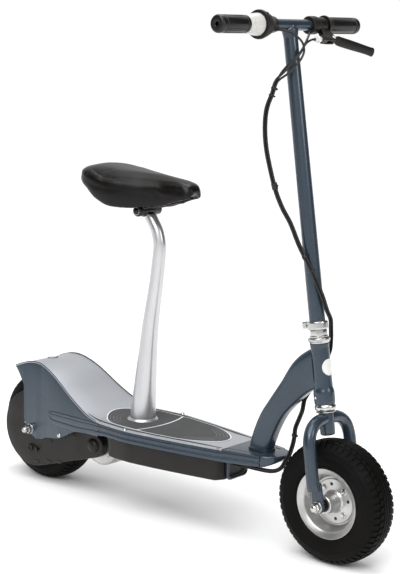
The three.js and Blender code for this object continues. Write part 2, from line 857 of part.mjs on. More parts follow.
function headTube() {
  const ringTop = headTubeBottom + headRingHeight;
  const tube = turned([
    [headTubeBore, headTubeBottom],
    [headRingRadius, headTubeBottom],
    [headRingRadius, ringTop],
    [headTubeRadius, ringTop + headRingSlope],
    [headTubeRadius, headTubeTop],
    [headTubeBore, headTubeTop],
  ]);
  piece("head_tube", tube, "paint", steering);
  const spigotRadius = headTubeBore - fit;
  const lowerSeat = headTubeBottom - fit;
  const lower = turned([
    [cupBore, lowerSeat - lowerCupHeight],
    [lowerCupRadius, lowerSeat - lowerCupHeight],
    [lowerCupRadius, lowerSeat],
    [spigotRadius, lowerSeat],
    [spigotRadius, lowerSeat + cupSpigot],
    [cupBore, lowerSeat + cupSpigot],
  ]);
  piece("headset_cup_lower", lower, "bright", steering);
  const upperSeat = headTubeTop + fit;
  const upper = turned([
    [cupBore, upperSeat - cupSpigot],
    [spigotRadius, upperSeat - cupSpigot],
    [spigotRadius, upperSeat],
    [upperCupRadius, upperSeat],
    [upperCupRadius, upperCupTop],
    [cupBore, upperCupTop],
  ]);
  piece("headset_cup_upper", upper, "bright", steering);
}
headTube();

// Handlebar and what is on it

function onBar(name, profile, look, facets = roundFacets) {
  return piece(name, acrossY(turned(profile, facets)), look, bar);
}

const sleeveBore = barRadius + fit;

// A grip closed at its outer end but for a small hole, with end heights signed by its side
function grip(side, inner, radius, extra = []) {
  const barEnd = barLength / 2 + fit;
  const end = barEnd + gripCap;
  return [
    [sleeveBore, side * inner],
    ...extra,
    [radius, side * inner],
    [radius, side * (end - gripRounding)],
    [radius - gripRounding, side * end],
    [gripCapHole, side * end],
    [gripCapHole, side * barEnd],
    [sleeveBore, side * barEnd],
  ];
}

function handlebar() {
  const half = barLength / 2;
  const bore = barRadius - barWall;
  onBar("handlebar", [[bore, -half], [barRadius, -half], [barRadius, half], [bore, half]], "paint");
  onBar("grip_right", grip(-1, rightGripInner, gripRadius), "black");
  const flange = [[gripFlangeRadius, gripFlangeInner], [gripFlangeRadius, gripFlangeOuter]];
  const left = grip(1, gripFlangeOuter, leftGripRadius, flange);
  left[0] = [sleeveBore, gripFlangeInner];
  onBar("grip_left", left, "black");
  onBar("throttle_sleeve", [
    [sleeveBore, fit - rightGripInner],
    [sleeveOuterRadius, fit - rightGripInner],
    [sleeveInnerRadius, -sleeveInner],
    [sleeveBore, -sleeveInner],
  ], "white");
  const discOuter = fit - sleeveInner;
  onBar("throttle_housing", [
    [sleeveBore, discOuter],
    [discRadius, discOuter],
    [discRadius, discOuter + discWidth],
    [discSlopeRadius, discOuter + discSlopeWidth],
    [housingNeckRadius, -housingNeck],
    [housingEndRadius, -housingEnd],
    [sleeveBore, -housingEnd],
  ], "plastic");
  onBar("switch_collar", [
    [sleeveBore, switchInner],
    [switchRadius, switchInner],
    [switchRadius, switchOuter],
    [sleeveBore, switchOuter],
  ], "plastic");
}
handlebar();

// Brake lever, drawn in its plane: X is the reach ahead of the bar and Y runs along the bar

function leverBracket() {
  const clamp = acrossY(rod(clampRadius, clampInner, clampOuter)).rotateY(-leverTilt);
  const nearReach = pivotReach - bracketNoseHalf;
  const arm = plateXY([
    [0, clampInner],
    [clampRadius, clampInner],
    [nearReach, clampInner - bracketNoseHalf],
    [nearReach, bracketNoseInner],
    [pivotReach + bracketNoseHalf, bracketNoseInner],
    [bracketReach, clampInner],
    [bracketReach, bracketOuter - bracketNoseHalf],
    [bracketReach - bracketNoseHalf, bracketOuter],
    [clampRadius, clampOuter],
    [0, clampOuter],
  ], -bracketHalf, bracketHalf);
  const adjuster = join(
    acrossY(rod(adjusterRadius, adjusterInner, bracketNoseInner + fit, rodFacets)),
    acrossY(rod(adjusterCollarRadius, adjusterCollarInner, bracketNoseInner - fit, rodFacets)),
  ).translate(pivotReach, 0, 0);
  const holeEnd = adjusterInner + adjusterBoreDepth;
  const cableHole = acrossY(rod(adjusterBore, adjusterInner - overrun, holeEnd, rodFacets));
  const barHole = acrossY(rod(sleeveBore, clampInner - overrun, clampOuter + overrun)).rotateY(-leverTilt);
  const slotHalf = leverEyeHalf + fit;
  const slot = box(pivotReach - leverEyeRadius - pivotPinRadius, bracketReach + overrun,
    pivotAlong - leverEyeRadius - pivotPinRadius, bracketOuter + overrun, -slotHalf, slotHalf);
  const body = cut(join(clamp, arm, adjuster), barHole, slot, cableHole.translate(pivotReach, 0, 0));
  const pin = rod(pivotPinRadius, -bracketHalf, bracketHalf, rodFacets).translate(pivotReach, pivotAlong, 0);
  return join(body, pin);
}

// The lever is an eye round the pivot pin and a blade that swells towards its tip
function brakeLever() {
  const eyeTool = rod(pivotPinRadius + fit, -bracketHalf, bracketHalf);
  const eye = beltOutline([pivotReach, pivotAlong], leverEyeRadius, [pivotReach + leverEyeHalf, bladeStart],
    bladeHalfDepth, 6);
  const root = plateXY(eye, -leverEyeHalf, leverEyeHalf);
  const reach = bladeTipReach - pivotReach - leverEyeHalf;
  const rings = bladeAlongShares.map((share, i) => {
    const y = bladeStart + share * (bladeTipAlong - bladeStart);
    const x = pivotReach + leverEyeHalf + bladeReachShares[i] * reach;
    const [deep, high] = [bladeHalfDepth * bladeSizeShares[i], bladeHalfHeight * bladeSizeShares[i]];
    return circle(1, wireFacets).map((p) => vec(x + p.x * deep, y, p.y * high));
  });
  return cut(join(root, loft(rings)), eyeTool.translate(pivotReach, pivotAlong, 0));
}
piece("lever_bracket", leverBracket(), "plastic", leverPlane);
piece("brake_lever", brakeLever(), "plastic", leverPlane);

// Deck frame

// Half the deck's width at x, widest near the seat post and narrower to both ends
function deckHalf(x) {
  if (x > widestX) {
    const t = (x - widestX) / (noseBaseX - widestX);
    return deckHalfWidth - (deckHalfWidth - noseHalfWidth) * t ** frontTaperShare;
  }
  const t = Math.min(1, (widestX - x) / (widestX - straightX));
  return deckHalfWidth - (deckHalfWidth - tailHalfWidth) * t ** rearTaperShare;
}

const spread = (start, end, shares) => shares.map((share) => start + (end - start) * share);
const railBase = deckTop - deckSheet - railHeight;

// A side rail with two grooves along its outer face. Behind the deck it thins to a band that lies
// on the side plate.
function rail() {
  const bandXs = spread(railRearX, railStepX, railBandXShares);
  const blockXs = spread(railStepX, plateFrontX, railBlockXShares);
  const raisedXs = spread(plateFrontX, railFrontX, railRaisedXShares);
  const xs = [...bandXs, ...blockXs, ...raisedXs];
  const rings = xs.map((x, i) => {
    const outer = deckHalf(x) + railProud;
    const thin = i < bandXs.length;
    const inner = thin ? outer - bandSheet : outer - railThickness;
    const groove = thin ? outer - bandSheet / 2 : outer - railGroove;
    const [low, high] = [railBottomShares[i], railTopShares[i]].map((s) => railBase + s * railHeight);
    const faceShares = [0, 0.08, 0.3, 0.36, 0.44, 0.5, 0.76, 0.8, 0.86, 0.9, 1];
    const depths = [groove, outer, outer, groove, groove, outer, outer, groove, groove, outer, outer];
    const face = faceShares.map((s, k) => vec(x, depths[k], low + (high - low) * s));
    return [...face, vec(x, inner, high), vec(x, inner, low)];
  });
  return loft(rings);
}

function fenderZ(x) {
  const t = (x - tailX) / (seamX - tailX);
  const rise = fenderCrest - deckTop;
  return deckTop + rise * along(fenderXShares, fenderZShares, Math.min(1, Math.max(0, t)));
}

function rearFender() {
  const row = (x, drop) => [-1, 1].map((side) => vec(x, side * deckHalf(x), fenderZ(x) - drop));
  const xs = spread(tailX, seamX, fenderXShares);
  return sheet(xs.map((x) => row(x, 0)), xs.map((x) => row(x, fenderSheet)));
}

const armFarY = deckHalf(armPivotX - armEyeRadius) - sidePlateSheet - slack;

// The stud on the left side plate that the brake arm swings on
function armStud() {
  const start = armFarY - armSheet - fit;
  const end = deckHalf(armPivotX) - sidePlateSheet / 2;
  return acrossY(rod(armPivotRadius, start, end, rodFacets)).translate(armPivotX, 0, armPivotZ);
}

// A side plate hangs under the fender's edge, with a slot for the axle that opens to the rear
function sidePlate() {
  const shares = [...new Set([...fenderXShares, ...sideXShares])].sort((a, b) => a - b);
  const face = (inset) => shares.map((share) => {
    const x = tailX + share * (seamX - tailX);
    const low = sidePlateLowest + along(sideXShares, sideZShares, share) * (fenderCrest - sidePlateLowest);
    const high = fenderZ(x) - fenderSheet - fit;
    const y = deckHalf(x) - inset;
    return [vec(x, y, low), vec(x, y, high)];
  });
  const plate = sheet(face(0), face(sidePlateSheet));
  const axle = [rearAxleX, tyreRadius];
  const half = axleRadius + fit;
  const far = tailHalfWidth + overrun;
  const slotEnd = acrossY(rod(half, 0, far, rodFacets)).translate(axle[0], 0, axle[1]);
  const slot = box(axle[0] - overrun, axle[0], 0, far, axle[1] - half, axle[1] + half);
  return cut(plate, slotEnd, slot);
}

// The nose fills the space between the rails' front ends and rounds off ahead of them
function deckNose() {
  const railInner = (x) => deckHalf(x) + railProud - railThickness - fit;
  const start = plateFrontX + slack;
  const inside = [start, (start + railFrontX) / 2, railFrontX + fit];
  const ringAt = (x, half, low) => {
    const high = deckTop;
    const c = Math.min(noseChamfer, half / 3);
    const profile = [[half - c, high], [half, high - c], [half, low + c], [half - c, low]];
    const other = profile.map(([y, z]) => [-y, z]).reverse();
    return [...profile, ...other].map(([y, z]) => vec(x, y, z));
  };
  const core = loft(inside.map((x) => ringAt(x, railInner(x), railBase)));
  const tip = noseTipX - railFrontX - fit;
  const full = deckHalf(railFrontX) + railProud;
  const tipRings = noseXShares.map((share, i) => {
    const low = railBase + noseRiseShares[i] * railHeight;
    return ringAt(railFrontX + fit + share * tip, noseWidthShares[i] * full, low);
  });
  return join(core, loft(tipRings));
}

function deckFrame() {
  piece("rail_left", rail(), "paint");
  piece("rail_right", mirrored(rail()), "paint");
  piece("side_plate_left", join(sidePlate(), armStud()), "paint");
  piece("side_plate_right", mirrored(sidePlate()), "paint");
  piece("deck_nose", deckNose(), "paint");
  piece("rear_fender", rearFender(), "silver");
  const steps = 14;
  const xs = Array.from({ length: steps + 1 }, (_, i) => i / steps);
  const edge = spread(seamX + slack, plateFrontX, xs).map((x) => [x, deckHalf(x)]);
  const outline = [...edge, ...edge.map(([x, y]) => [x, -y]).reverse()];
  piece("deck_plate", plateXY(outline, deckTop - deckSheet, deckTop), "silver");
}
deckFrame();

// Neck: a hollow rounded box section that leans forward from the nose to the head tube

function neck() {
  const count = neckXShares.length;
  const top = vec(-neckSetbackTop, 0, headTubeBottom + neckSeat).applyMatrix4(steering.matrix);
  const at = (i) => [
    neckBaseX + neckXShares[i] * (top.x - neckBaseX),
    deckTop + neckZShares[i] * (top.z - deckTop),
  ];
  const section = (i, wall) => {
    const [x, z] = at(i);
    const before = at(Math.max(0, i - 1));
    const after = at(Math.min(count - 1, i + 1));
    const end = i === count - 1;
    const heading = end ? rake : Math.atan2(after[1] - before[1], after[0] - before[0]);
    const flare = neckFlareShares[i] * neckFlare;
    const deep = (neckDepth * neckDepthShares[i]) / 2 + flare - wall;
    const wide = neckHalfWidth + flare - wall;
    return circle(1, smallFacets).map((p) => {
      const a = Math.sign(p.x) * Math.abs(p.x) ** neckSquareShare * deep;
      const b = Math.sign(p.y) * Math.abs(p.y) ** neckSquareShare * wide;
      return vec(x + a * Math.sin(heading), b, z - a * Math.cos(heading));
    });
  };
  const rings = (wall) => neckXShares.map((_, i) => section(i, wall));
  const tube = sleeve(rings(0), rings(neckWall));
  const head = rod(headTubeRadius + fit, headTubeBottom - overrun, headTubeTop + overrun);
  const ringTop = headTubeBottom + headRingHeight + headRingSlope;
  const headRing = rod(headRingRadius + fit, headTubeBottom - overrun, ringTop);
  return cut(tube, alongSteering(head), alongSteering(headRing));
}
piece("neck_tube", neck(), "paint");

// Grip pads, which follow the deck and the fender's foot

function pad(xShares, widthShares, rearX, frontX, rearBow, frontBow) {
  const columnShares = [-1, -0.5, 0, 0.5, 1];
  const surface = (x) => (x > seamX ? deckTop : fenderZ(x));
  const grid = (lift) => xShares.map((share, i) =>
    columnShares.map((column) => {
      const bow = (rearBow * (1 - share) + frontBow * share) * (1 - column * column);
      const x = rearX + (frontX - rearX) * share + bow;
      return vec(x, column * widthShares[i] * padHalfWidth, surface(x) + lift);
    }),
  );
  return sheet(grid(fit + padSheet), grid(fit));
}

function gripPads() {
  const front = pad(padFrontXShares, padFrontWidthShares, padWaistX + padSplit, padFrontX, padBow, 0);
  const postHole = rod(postFlangeRadius + fit, deckTop - overrun, deckTop + overrun);
  const rearPad = pad(padRearXShares, padRearWidthShares, padRearX, padWaistX, 0, padBow);
  const rear = cut(rearPad, postHole.translate(postBaseX, 0, 0));
  piece("grip_pad_front", front, "grit");
  piece("grip_pad_rear", rear, "grit");
}
gripPads();

// Seat post, its clamp and the saddle

function seatPost() {
  const height = clampZ - deckTop;
  const centre = (i) => [postBaseX + postXShares[i] * postSweep, deckTop + postZShares[i] * height];
  const last = postXShares.length - 1;
  const rings = (wall) => postXShares.map((_, i) => {
    const [x, z] = centre(i);
    const before = centre(Math.max(0, i - 1));
    const after = centre(Math.min(last, i + 1));
    const lean = i === 0 ? 0 : Math.atan2(after[0] - before[0], after[1] - before[1]);
    const radius = postBaseRadius * postRadiusShares[i] - wall;
    const tilted = (p) => vec(x + p.x * Math.cos(lean), p.y, z - p.x * Math.sin(lean));
    return circle(radius, smallFacets).map(tilted);
  });
  const roll = acrossY(rod(clampRollRadius + fit, -clampRollHalf, clampRollHalf));
  return cut(sleeve(rings(0), rings(postWall)), roll.translate(clampX, 0, clampZ));
}

// One bent rod under the seat, with its nose joined and its rear ends raised to the seat pan
function saddleRails(radius) {
  const panUnder = (x) => Math.min(panZ(x - radius), panZ(x + radius)) - panSheet - fit;
  const noseX = clampX + saddleNoseReach;
  const rearX = clampX - saddleRearReach;
  const level = clampZ + railRodRise;
  const side = (sign) => [
    vec(rearX, sign * railRearHalf, panUnder(rearX)),
    vec(rearX, sign * railRearHalf, panUnder(rearX) - railRodRise),
    vec(rearX + railRodRise, sign * railRearHalf, level + railRodRise / 2),
    vec(clampX - saddleRearReach / 2, sign * (railRodHalf + railRodRadius), level),
    vec(clampX - clampRollRadius, sign * railRodHalf, level),
    vec(clampX + clampRollRadius, sign * railRodHalf, level),
    vec(clampX + saddleNoseReach / 2, sign * railRodHalf * railNoseHalfShare, level + railNoseRise),
    vec(noseX - railRodRise, sign * railTipHalf, panUnder(noseX) - radius),
  ];
  const nose = vec(noseX, 0, panUnder(noseX) - radius);
  return bentRod([...side(-1), nose, ...side(1).reverse()], radius, 36, wireFacets);
}

function seatClamp() {
  const roll = acrossY(rod(clampRollRadius, -clampRollHalf, clampRollHalf)).translate(clampX, 0, clampZ);
  const past = clampRollHalf + overrun;
  const boltHole = acrossY(rod(clampBoltRadius + fit, -past, past, rodFacets));
  const rails = saddleRails(railRodRadius + fit);
  piece("seat_clamp", cut(roll, boltHole.translate(clampX, 0, clampZ), rails), "black");
  const head = clampRollHalf + fit;
  const shank = rod(clampBoltRadius, -head - clampBoltHead / 2, head + clampBoltHead / 2, rodFacets);
  const ends = [-1, 1].map((side) => {
    const [a, b] = [side * head, side * (head + clampBoltHead)].sort((p, q) => p - q);
    return rod(clampBoltHeadRadius, a, b, rodFacets);
  });
  const bolt = acrossY(join(shank, ...ends)).translate(clampX, 0, clampZ);
  piece("seat_clamp_bolt", bolt, "bright");
}

const seatBase = seatTop - seatDepth;
const seatX = (share) => seatRearX + share * seatLength;
const seatLevel = (shares, share) => seatBase + seatDepth * along(seatXShares, shares, share);
const seatShare = (x) => (x - seatRearX) / seatLength;

// The height of the seat pan's upper face, just under the cushion's inner ceiling
const panZ = (x) => seatLevel(seatCeilingShares, seatShare(x)) - fit;

// The cushion: a crowned top with a shallow channel, sides that draw in and a skirt round the pan
function cushion() {
  const rings = seatXShares.map((share, i) => {
    const x = seatX(share);
    const half = seatHalfWidth * seatWidthShares[i];
    const [low, high] = [seatLevel(seatBottomShares, share), seatLevel(seatTopShares, share)];
    const ceiling = Math.max(seatLevel(seatCeilingShares, share), low + fit);
    const outer = crownYShares.map((y, k) => vec(x, y * half, low + crownZShares[k] * (high - low)));
    const inner = vec(x, crownYShares[crownYShares.length - 1] * half, ceiling);
    const right = [...outer, inner];
    const left = right.slice(1).map((p) => vec(p.x, -p.y, p.z)).reverse();
    return [...right, vec(x, 0, ceiling), ...left];
  });
  return loft(rings);
}

function seatPan() {
  const between = seatXShares.filter((share) => share > panRearShare && share < panFrontShare);
  const shares = [panRearShare, ...between, panFrontShare];
  const skirt = crownYShares[crownYShares.length - 1];
  const row = (share, drop) => [-1, 1].map((side) => {
    const half = seatHalfWidth * along(seatXShares, seatWidthShares, share) * skirt - panMargin * skirt;
    return vec(seatX(share), side * half, panZ(seatX(share)) - drop);
  });
  return sheet(shares.map((s) => row(s, 0)), shares.map((s) => row(s, panSheet)));
}

function seat() {
  const post = seatPost();
  const flange = ring(postBaseRadius + slack, postFlangeRadius, deckTop, deckTop + postFlangeHeight);
  piece("seat_post", post, "silver");
  piece("seat_post_flange", flange.translate(postBaseX, 0, 0), "silver");
  seatClamp();
  piece("saddle_rails", saddleRails(railRodRadius), "black");
  piece("seat_pan", seatPan(), "black");
  piece("seat_cushion", cushion(), "vinyl");
  const bumperTop = Math.min(panZ(bumperX - bumperRadius), panZ(bumperX + bumperRadius)) - panSheet - fit;
  const bumper = rod(bumperRadius, bumperTop - bumperHeight, bumperTop, smallFacets);
  piece("seat_bumper_left", moved(bumper, bumperX, bumperHalf, 0), "black");
  piece("seat_bumper_right", moved(bumper, bumperX, -bumperHalf, 0), "black");
}
seat();

// Battery case under the deck, with two batteries and the controller in it

function batteryCase() {
  const steps = 8;
  const top = railBase - caseTopGap;
  const outline = (inset) => {
    const xs = Array.from({ length: steps + 1 }, (_, i) => i / steps);
    const edge = spread(caseRearX + inset, caseShoulderX - inset, xs);
    const side = edge.map((x) => [x, deckHalf(x) - caseInset - inset]);
    side.push([caseFrontX - inset, caseFrontHalf - inset]);
    return [...side, ...side.map(([x, y]) => [x, -y]).reverse()];
  };
  const shell = plateXY(outline(0), caseBottom, top);
  const hollow = plateXY(outline(caseWall), caseBottom + caseWall, top + overrun);
  piece("battery_case", cut(shell, hollow), "plastic");
  const floor = caseBottom + caseWall;
  const rearX = caseRearX + caseWall + batteryGap;
  const frontX = rearX + batteryWide + batteryGap;
  const controllerX = caseFrontX - caseWall - controllerGap - controllerLength;
  const frontLength = controllerX - batteryGap - frontX;
  const lying = (x0, length, width) =>
    box(x0, x0 + length, -width / 2, width / 2, floor, floor + batteryTall);
  piece("battery_rear", lying(rearX, batteryWide, batteryLong), "plastic");
  piece("battery_front", lying(frontX, frontLength, batteryWide), "plastic");
  const controller = box(controllerX, controllerX + controllerLength, -controllerHalf, controllerHalf,
    floor, floor + controllerHeight);
  piece("controller", controller, "silver");
}
batteryCase();

// A hoop of bent rod that hangs from the nose in front of the case
function caseHanger() {
  const x = caseFrontX + hangerGap + hangerRadius;
  const top = railBase - fit;
  const bottom = top - hangerDrop;
  const leg = (side) => [
    vec(x + hangerBend, side * hangerHalf, top - hangerRadius),
    vec(x, side * hangerHalf, top - hangerBend),
    vec(x, side * hangerHalf, bottom + hangerBend),
    vec(x, side * (hangerHalf - hangerBend), bottom),
  ];
  piece("case_hanger", bentRod([...leg(-1), ...leg(1).reverse()], hangerRadius, 20, wireFacets), "paint");
}
caseHanger();

// Motor, sprockets, chain and guard

const chainNear = chainMiddleY - chainHalf;
const chainFar = chainMiddleY + chainHalf;
const pitchRadius = (teeth) => chainPitch / (2 * Math.sin(Math.PI / teeth));

function toothed(teeth) {
  const points = [];
  const root = pitchRadius(teeth) - toothDepth;
  for (let i = 0; i < teeth * 2; i++) {
    const a = (i / (teeth * 2)) * Math.PI * 2;
    const r = i % 2 === 0 ? pitchRadius(teeth) : root;
    points.push([r * Math.cos(a), r * Math.sin(a)]);
  }
  return plateXZ(points, chainNear, chainFar);
}

function drive() {
  const motor = acrossY(turned([
    [0, chainNear - motorEdge],
    [motorShaftRadius, chainNear - motorEdge],
    [motorShaftRadius, motorNearY],
    [motorRadius - motorEdge, motorNearY],
    [motorRadius, motorNearY + motorEdge],
    [motorRadius, motorFarY - motorEdge],
    [motorRadius - motorEdge, motorFarY],
    [0, motorFarY],
  ], wheelFacets));
  piece("motor", motor.translate(motorX, 0, motorZ), "silver");
  const mountBottom = motorZ + motorRadius + fit;
  const mountHalf = (x) => deckHalf(x) - sidePlateSheet - slack;
  const mount = plateXY([
    [mountRearX, -mountHalf(mountRearX)],
    [mountFrontX, -mountHalf(mountFrontX)],
    [mountFrontX, mountHalf(mountFrontX)],
    [mountRearX, mountHalf(mountRearX)],
  ], mountBottom, mountBottom + mountSheet);
  piece("motor_mount", mount, "paint");
  const shaftHole = acrossY(rod(motorShaftRadius + fit, chainNear - overrun, chainFar + overrun));
  piece("motor_sprocket", moved(cut(toothed(motorTeeth), shaftHole), motorX, 0, motorZ), "bright");
  const carrier = acrossY(rod(hubRadius, chainMiddleY, -hubHalf - fit));
  const noseHole = acrossY(rod(hubNoseRadius + fit, chainNear - overrun, 0, smallFacets));
  piece("wheel_sprocket", cut(join(toothed(wheelTeeth), carrier), noseHole), "bright", rearWheel);
}

function chain() {
  const centres = [[rearAxleX, tyreRadius], [motorX, motorZ]];
  const loop = (grow) => {
    const [big, small] = [wheelTeeth, motorTeeth].map((teeth) => pitchRadius(teeth) + chainGap + grow);
    return beltOutline(centres[0], big, centres[1], small, 16);
  };
  return plateXZ(loop(chainDepth), chainNear, chainFar, [loop(0)]);
}

// The guard is a shell round the chain, open to the wheel, with a dome at its front and a lug
function chainGuard() {
  const centres = [[rearAxleX, tyreRadius], [motorX, motorZ]];
  const outline = (inset) =>
    beltOutline(centres[0], guardRearRadius - inset, centres[1], guardFrontRadius - inset, 14);
  const shell = plateXZ(outline(0), guardOuterY, guardInnerY);
  const hollow = plateXZ(outline(guardSheet), guardOuterY + guardSheet, guardInnerY + overrun);
  const boss = (radius, height, x, z) => {
    const shares = [[0, 0], [1, 0], [1, 0.4], [0.8, 0.8], [0.45, 1], [0, 1]];
    const profile = shares.map(([r, h]) => [r * radius, -guardOuterY - guardSheet / 2 + h * height]);
    return mirrored(acrossY(turned(profile, smallFacets))).translate(x, 0, z);
  };
  const dome = boss(guardBossRadius, guardBossHeight, motorX, motorZ);
  const lug = boss(lugRadius, lugHeight, rearAxleX, tyreRadius - lugDrop);
  const axleHole = acrossY(rod(guardAxleHole, guardOuterY - overrun, guardInnerY + overrun));
  return cut(join(cut(shell, hollow), dome, lug), axleHole.translate(rearAxleX, 0, tyreRadius));
}
drive();
piece("drive_chain", chain(), "black");
piece("chain_guard", chainGuard(), "plastic");

// Band brake on the wheel's left side: a drum on the hub, a band round it and an arm that pulls it

function brake() {
  const drumInner = hubHalf + fit;
  const drum = turned([
    [hubNoseRadius + fit, drumInner],
    [drumRadius, drumInner],
    [drumRadius, drumOuterY],
    [drumRadius - drumWall, drumOuterY],
    [drumRadius - drumWall, drumInner + drumWall],
    [hubNoseRadius + fit, drumInner + drumWall],
  ]);
  piece("brake_drum", acrossY(drum), "bright", rearWheel);
  piece("brake_band", brakeBand(drumInner), "bright");
  piece("brake_arm", brakeArm(), "bright");
}

// An open ring round the drum, with a tab from its lower end to the side plate
function brakeBand(drumInner) {
  const [inner, outer] = [drumRadius + slack, drumRadius + slack + bandThickness];
  const steps = 24;
  const arc = (radius) => Array.from({ length: steps + 1 }, (_, i) => {
    const a = Math.PI * 2 * (bandHalfGapShare + (i / steps) * (1 - 2 * bandHalfGapShare));
    return [radius * Math.cos(a), radius * Math.sin(a)];
  });
  const strap = plateXZ([...arc(outer), ...arc(inner).reverse()], drumInner + fit, drumOuterY - fit);
  const a = Math.PI * 2 * bandHalfGapShare;
  const [tabX, tabZ] = [(inner * Math.cos(a) + outer * Math.cos(a)) / 2, -outer * Math.sin(a)];
  const plateInner = tailHalfWidth - sidePlateSheet - fit;
  const [tabLow, tabHigh] = [tabZ - bandThickness, tabZ + bandThickness / 2];
  const tab = box(tabX, tabX + bandAnchorReach, drumInner + slack, plateInner, tabLow, tabHigh);
  return join(strap, tab).translate(rearAxleX, 0, tyreRadius);
}

// The arm is a plate that swings on the side plate's stud, and the cable pulls its upper end forward
function brakeArm() {
  const tip = [armPivotX + armLength * Math.cos(armTilt), armPivotZ + armLength * Math.sin(armTilt)];
  const outline = beltOutline([armPivotX, armPivotZ], armEyeRadius, tip, armTipRadius, 6);
  const stud = acrossY(rod(armPivotRadius + fit, 0, tailHalfWidth + overrun));
  const plate = plateXZ(outline, armFarY - armSheet, armFarY);
  return cut(plate, stud.translate(armPivotX, 0, armPivotZ));
}
brake();

// Cables. Each strand leaves its control by itself, joins the bundle beside the stem and follows it.

// Places on the bundle's middle line, from the bar down to the front of the battery case
const bundle = [
  [260, -42, 943], [257, -50, 920], [251, -58, 892], [249, -60, 859], [251, -58, 820], [256, -52, 782],
  [265, -42, 733], [277, -34, 698], [294, -28, 668], [314, -24, 626], [341, -22, 585], [352, -15, 558],
  [361, -7, 531], [365, 4, 503], [363, 20, 484], [359, 28, 466], [358, 31, 438], [354, 32, 413],
  [331, 30, 368], [316, 27, 333], [304, 25, 312], [302, 23, 300], [303, 18, 286], [302, 9, 270],
  [299, 2, 252], [297.5, 0, 227], [291.5, -4, 199], [282.7, -6, 182], [273, -7, 166.5], [258, -8, 157.5],
  [241, -9, 154], [205, -9.5, 152.5],
];
const throttleStart = [
  [266, -51.6, 1040.5], [266.6, -46, 1040.3], [272, -38, 1039], [284, -26, 1034], [295, -10, 1019],
  [298, -6, 1000], [294, -16, 980], [282, -34, 958],
];
const switchStart = [
  [266.5, 59.5, 1040.5], [267, 54, 1040.2], [271, 46, 1037], [277, 36, 1031], [283, 22, 1022], [288, 6, 1010],
  [291, -8, 997], [285, -23, 979], [273, -37, 959],
];
const brakeStart = [
  [283.4, 47.7, 1023.1], [282, 38, 1022], [281, 24, 1016], [283, 10, 1006], [285, -7, 993],
  [275, -24, 975], [264, -33, 957],
];
const throttleEnd = [[180, -9.5, 148], [150.6, -9.5, 148]];
const switchEnd = [[180, -12, 152.5], [150.6, -12, 152.5]];
const brakeEnd = [
  [196, 6, 154], [182, 30, 158], [168, 50, 161], [140, 60.5, 161.2], [100, 69, 161.2], [50, 78, 161.2],
  [0, 86, 161.2], [-60, 90, 161.2], [-120, 89, 161], [-146, 86.6, 158.8], [-168, 81.5, 157.5],
  [-200, 74, 158], [-250, 66, 168], [-300, 58.5, 181], [-325, 56, 184.5],
];

// The bundle's places, moved sideways and out from its bends
function besideBundle(side, out) {
  return bundle.map((place, i) => {
    const before = vec(...bundle[Math.max(0, i - 1)]);
    const heading = vec(...bundle[Math.min(bundle.length - 1, i + 1)]).sub(before).normalize();
    const outward = vec(-heading.z, 0, heading.x).normalize();
    const sideways = outward.clone().cross(heading);
    return vec(...place).addScaledVector(outward, out).addScaledVector(sideways, side);
  });
}

// A strand has a ring at each place of its route, so strands that run together stay apart
function cable(name, start, side, out, end) {
  const place = ([x, y, z]) => vec(x, y, z);
  const route = [...start.map(place), ...besideBundle(side, out), ...end.map(place)];
  const section = new THREE.Shape(circle(cableRadius, cableFacets));
  const path = new THREE.CatmullRomCurve3(route);
  path.getPointAt = path.getPoint;
  path.getTangentAt = path.getTangent;
  const options = { steps: route.length - 1, bevelEnabled: false, extrudePath: path };
  piece(name, closed(new THREE.ExtrudeGeometry(section, options)), "rubber");
}
cable("throttle_cable", throttleStart, 0, cableSpacing * Math.sqrt(3), throttleEnd);
cable("switch_cable", switchStart, -cableSpacing, 0, switchEnd);
cable("brake_cable", brakeStart, cableSpacing, 0, brakeEnd);

export default scooter;
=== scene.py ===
"""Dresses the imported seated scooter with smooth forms, finishes, a floor, light and a camera.

Sizes are millimetres in the scooter's own frame, as in its drawing, and Form.done turns them into
metres. +X is forward, +Y is the rider's left and +Z is up.
"""

import json
import logging
import math
from dataclasses import dataclass
from enum import Enum
from functools import lru_cache
from typing import Callable, Iterable, Sequence

import bmesh
import bpy
from mathutils import Matrix, Vector
from mathutils.bvhtree import BVHTree

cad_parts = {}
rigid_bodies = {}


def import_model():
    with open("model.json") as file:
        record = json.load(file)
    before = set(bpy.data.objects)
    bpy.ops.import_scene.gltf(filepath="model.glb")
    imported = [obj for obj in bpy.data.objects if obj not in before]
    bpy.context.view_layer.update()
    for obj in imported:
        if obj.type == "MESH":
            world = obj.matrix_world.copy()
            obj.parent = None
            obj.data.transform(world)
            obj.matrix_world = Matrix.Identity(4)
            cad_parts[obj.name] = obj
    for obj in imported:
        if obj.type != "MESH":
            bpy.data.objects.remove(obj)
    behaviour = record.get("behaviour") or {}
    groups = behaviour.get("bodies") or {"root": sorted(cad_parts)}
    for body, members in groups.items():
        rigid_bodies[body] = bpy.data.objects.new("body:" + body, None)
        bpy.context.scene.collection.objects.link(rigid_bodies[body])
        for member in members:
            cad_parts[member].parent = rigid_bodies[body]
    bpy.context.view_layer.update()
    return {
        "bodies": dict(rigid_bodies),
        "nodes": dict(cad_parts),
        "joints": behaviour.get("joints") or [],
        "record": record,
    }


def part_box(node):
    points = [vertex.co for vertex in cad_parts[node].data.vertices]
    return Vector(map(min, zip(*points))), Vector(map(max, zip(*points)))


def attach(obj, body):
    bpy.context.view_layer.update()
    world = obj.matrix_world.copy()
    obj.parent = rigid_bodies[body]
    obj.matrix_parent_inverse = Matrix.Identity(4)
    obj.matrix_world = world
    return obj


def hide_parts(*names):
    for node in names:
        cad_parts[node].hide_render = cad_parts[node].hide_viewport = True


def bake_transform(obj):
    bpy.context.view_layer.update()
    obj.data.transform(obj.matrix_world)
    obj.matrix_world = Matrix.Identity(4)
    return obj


LOG = logging.getLogger("scooter")
MM = 0.001
WELD = 0.002
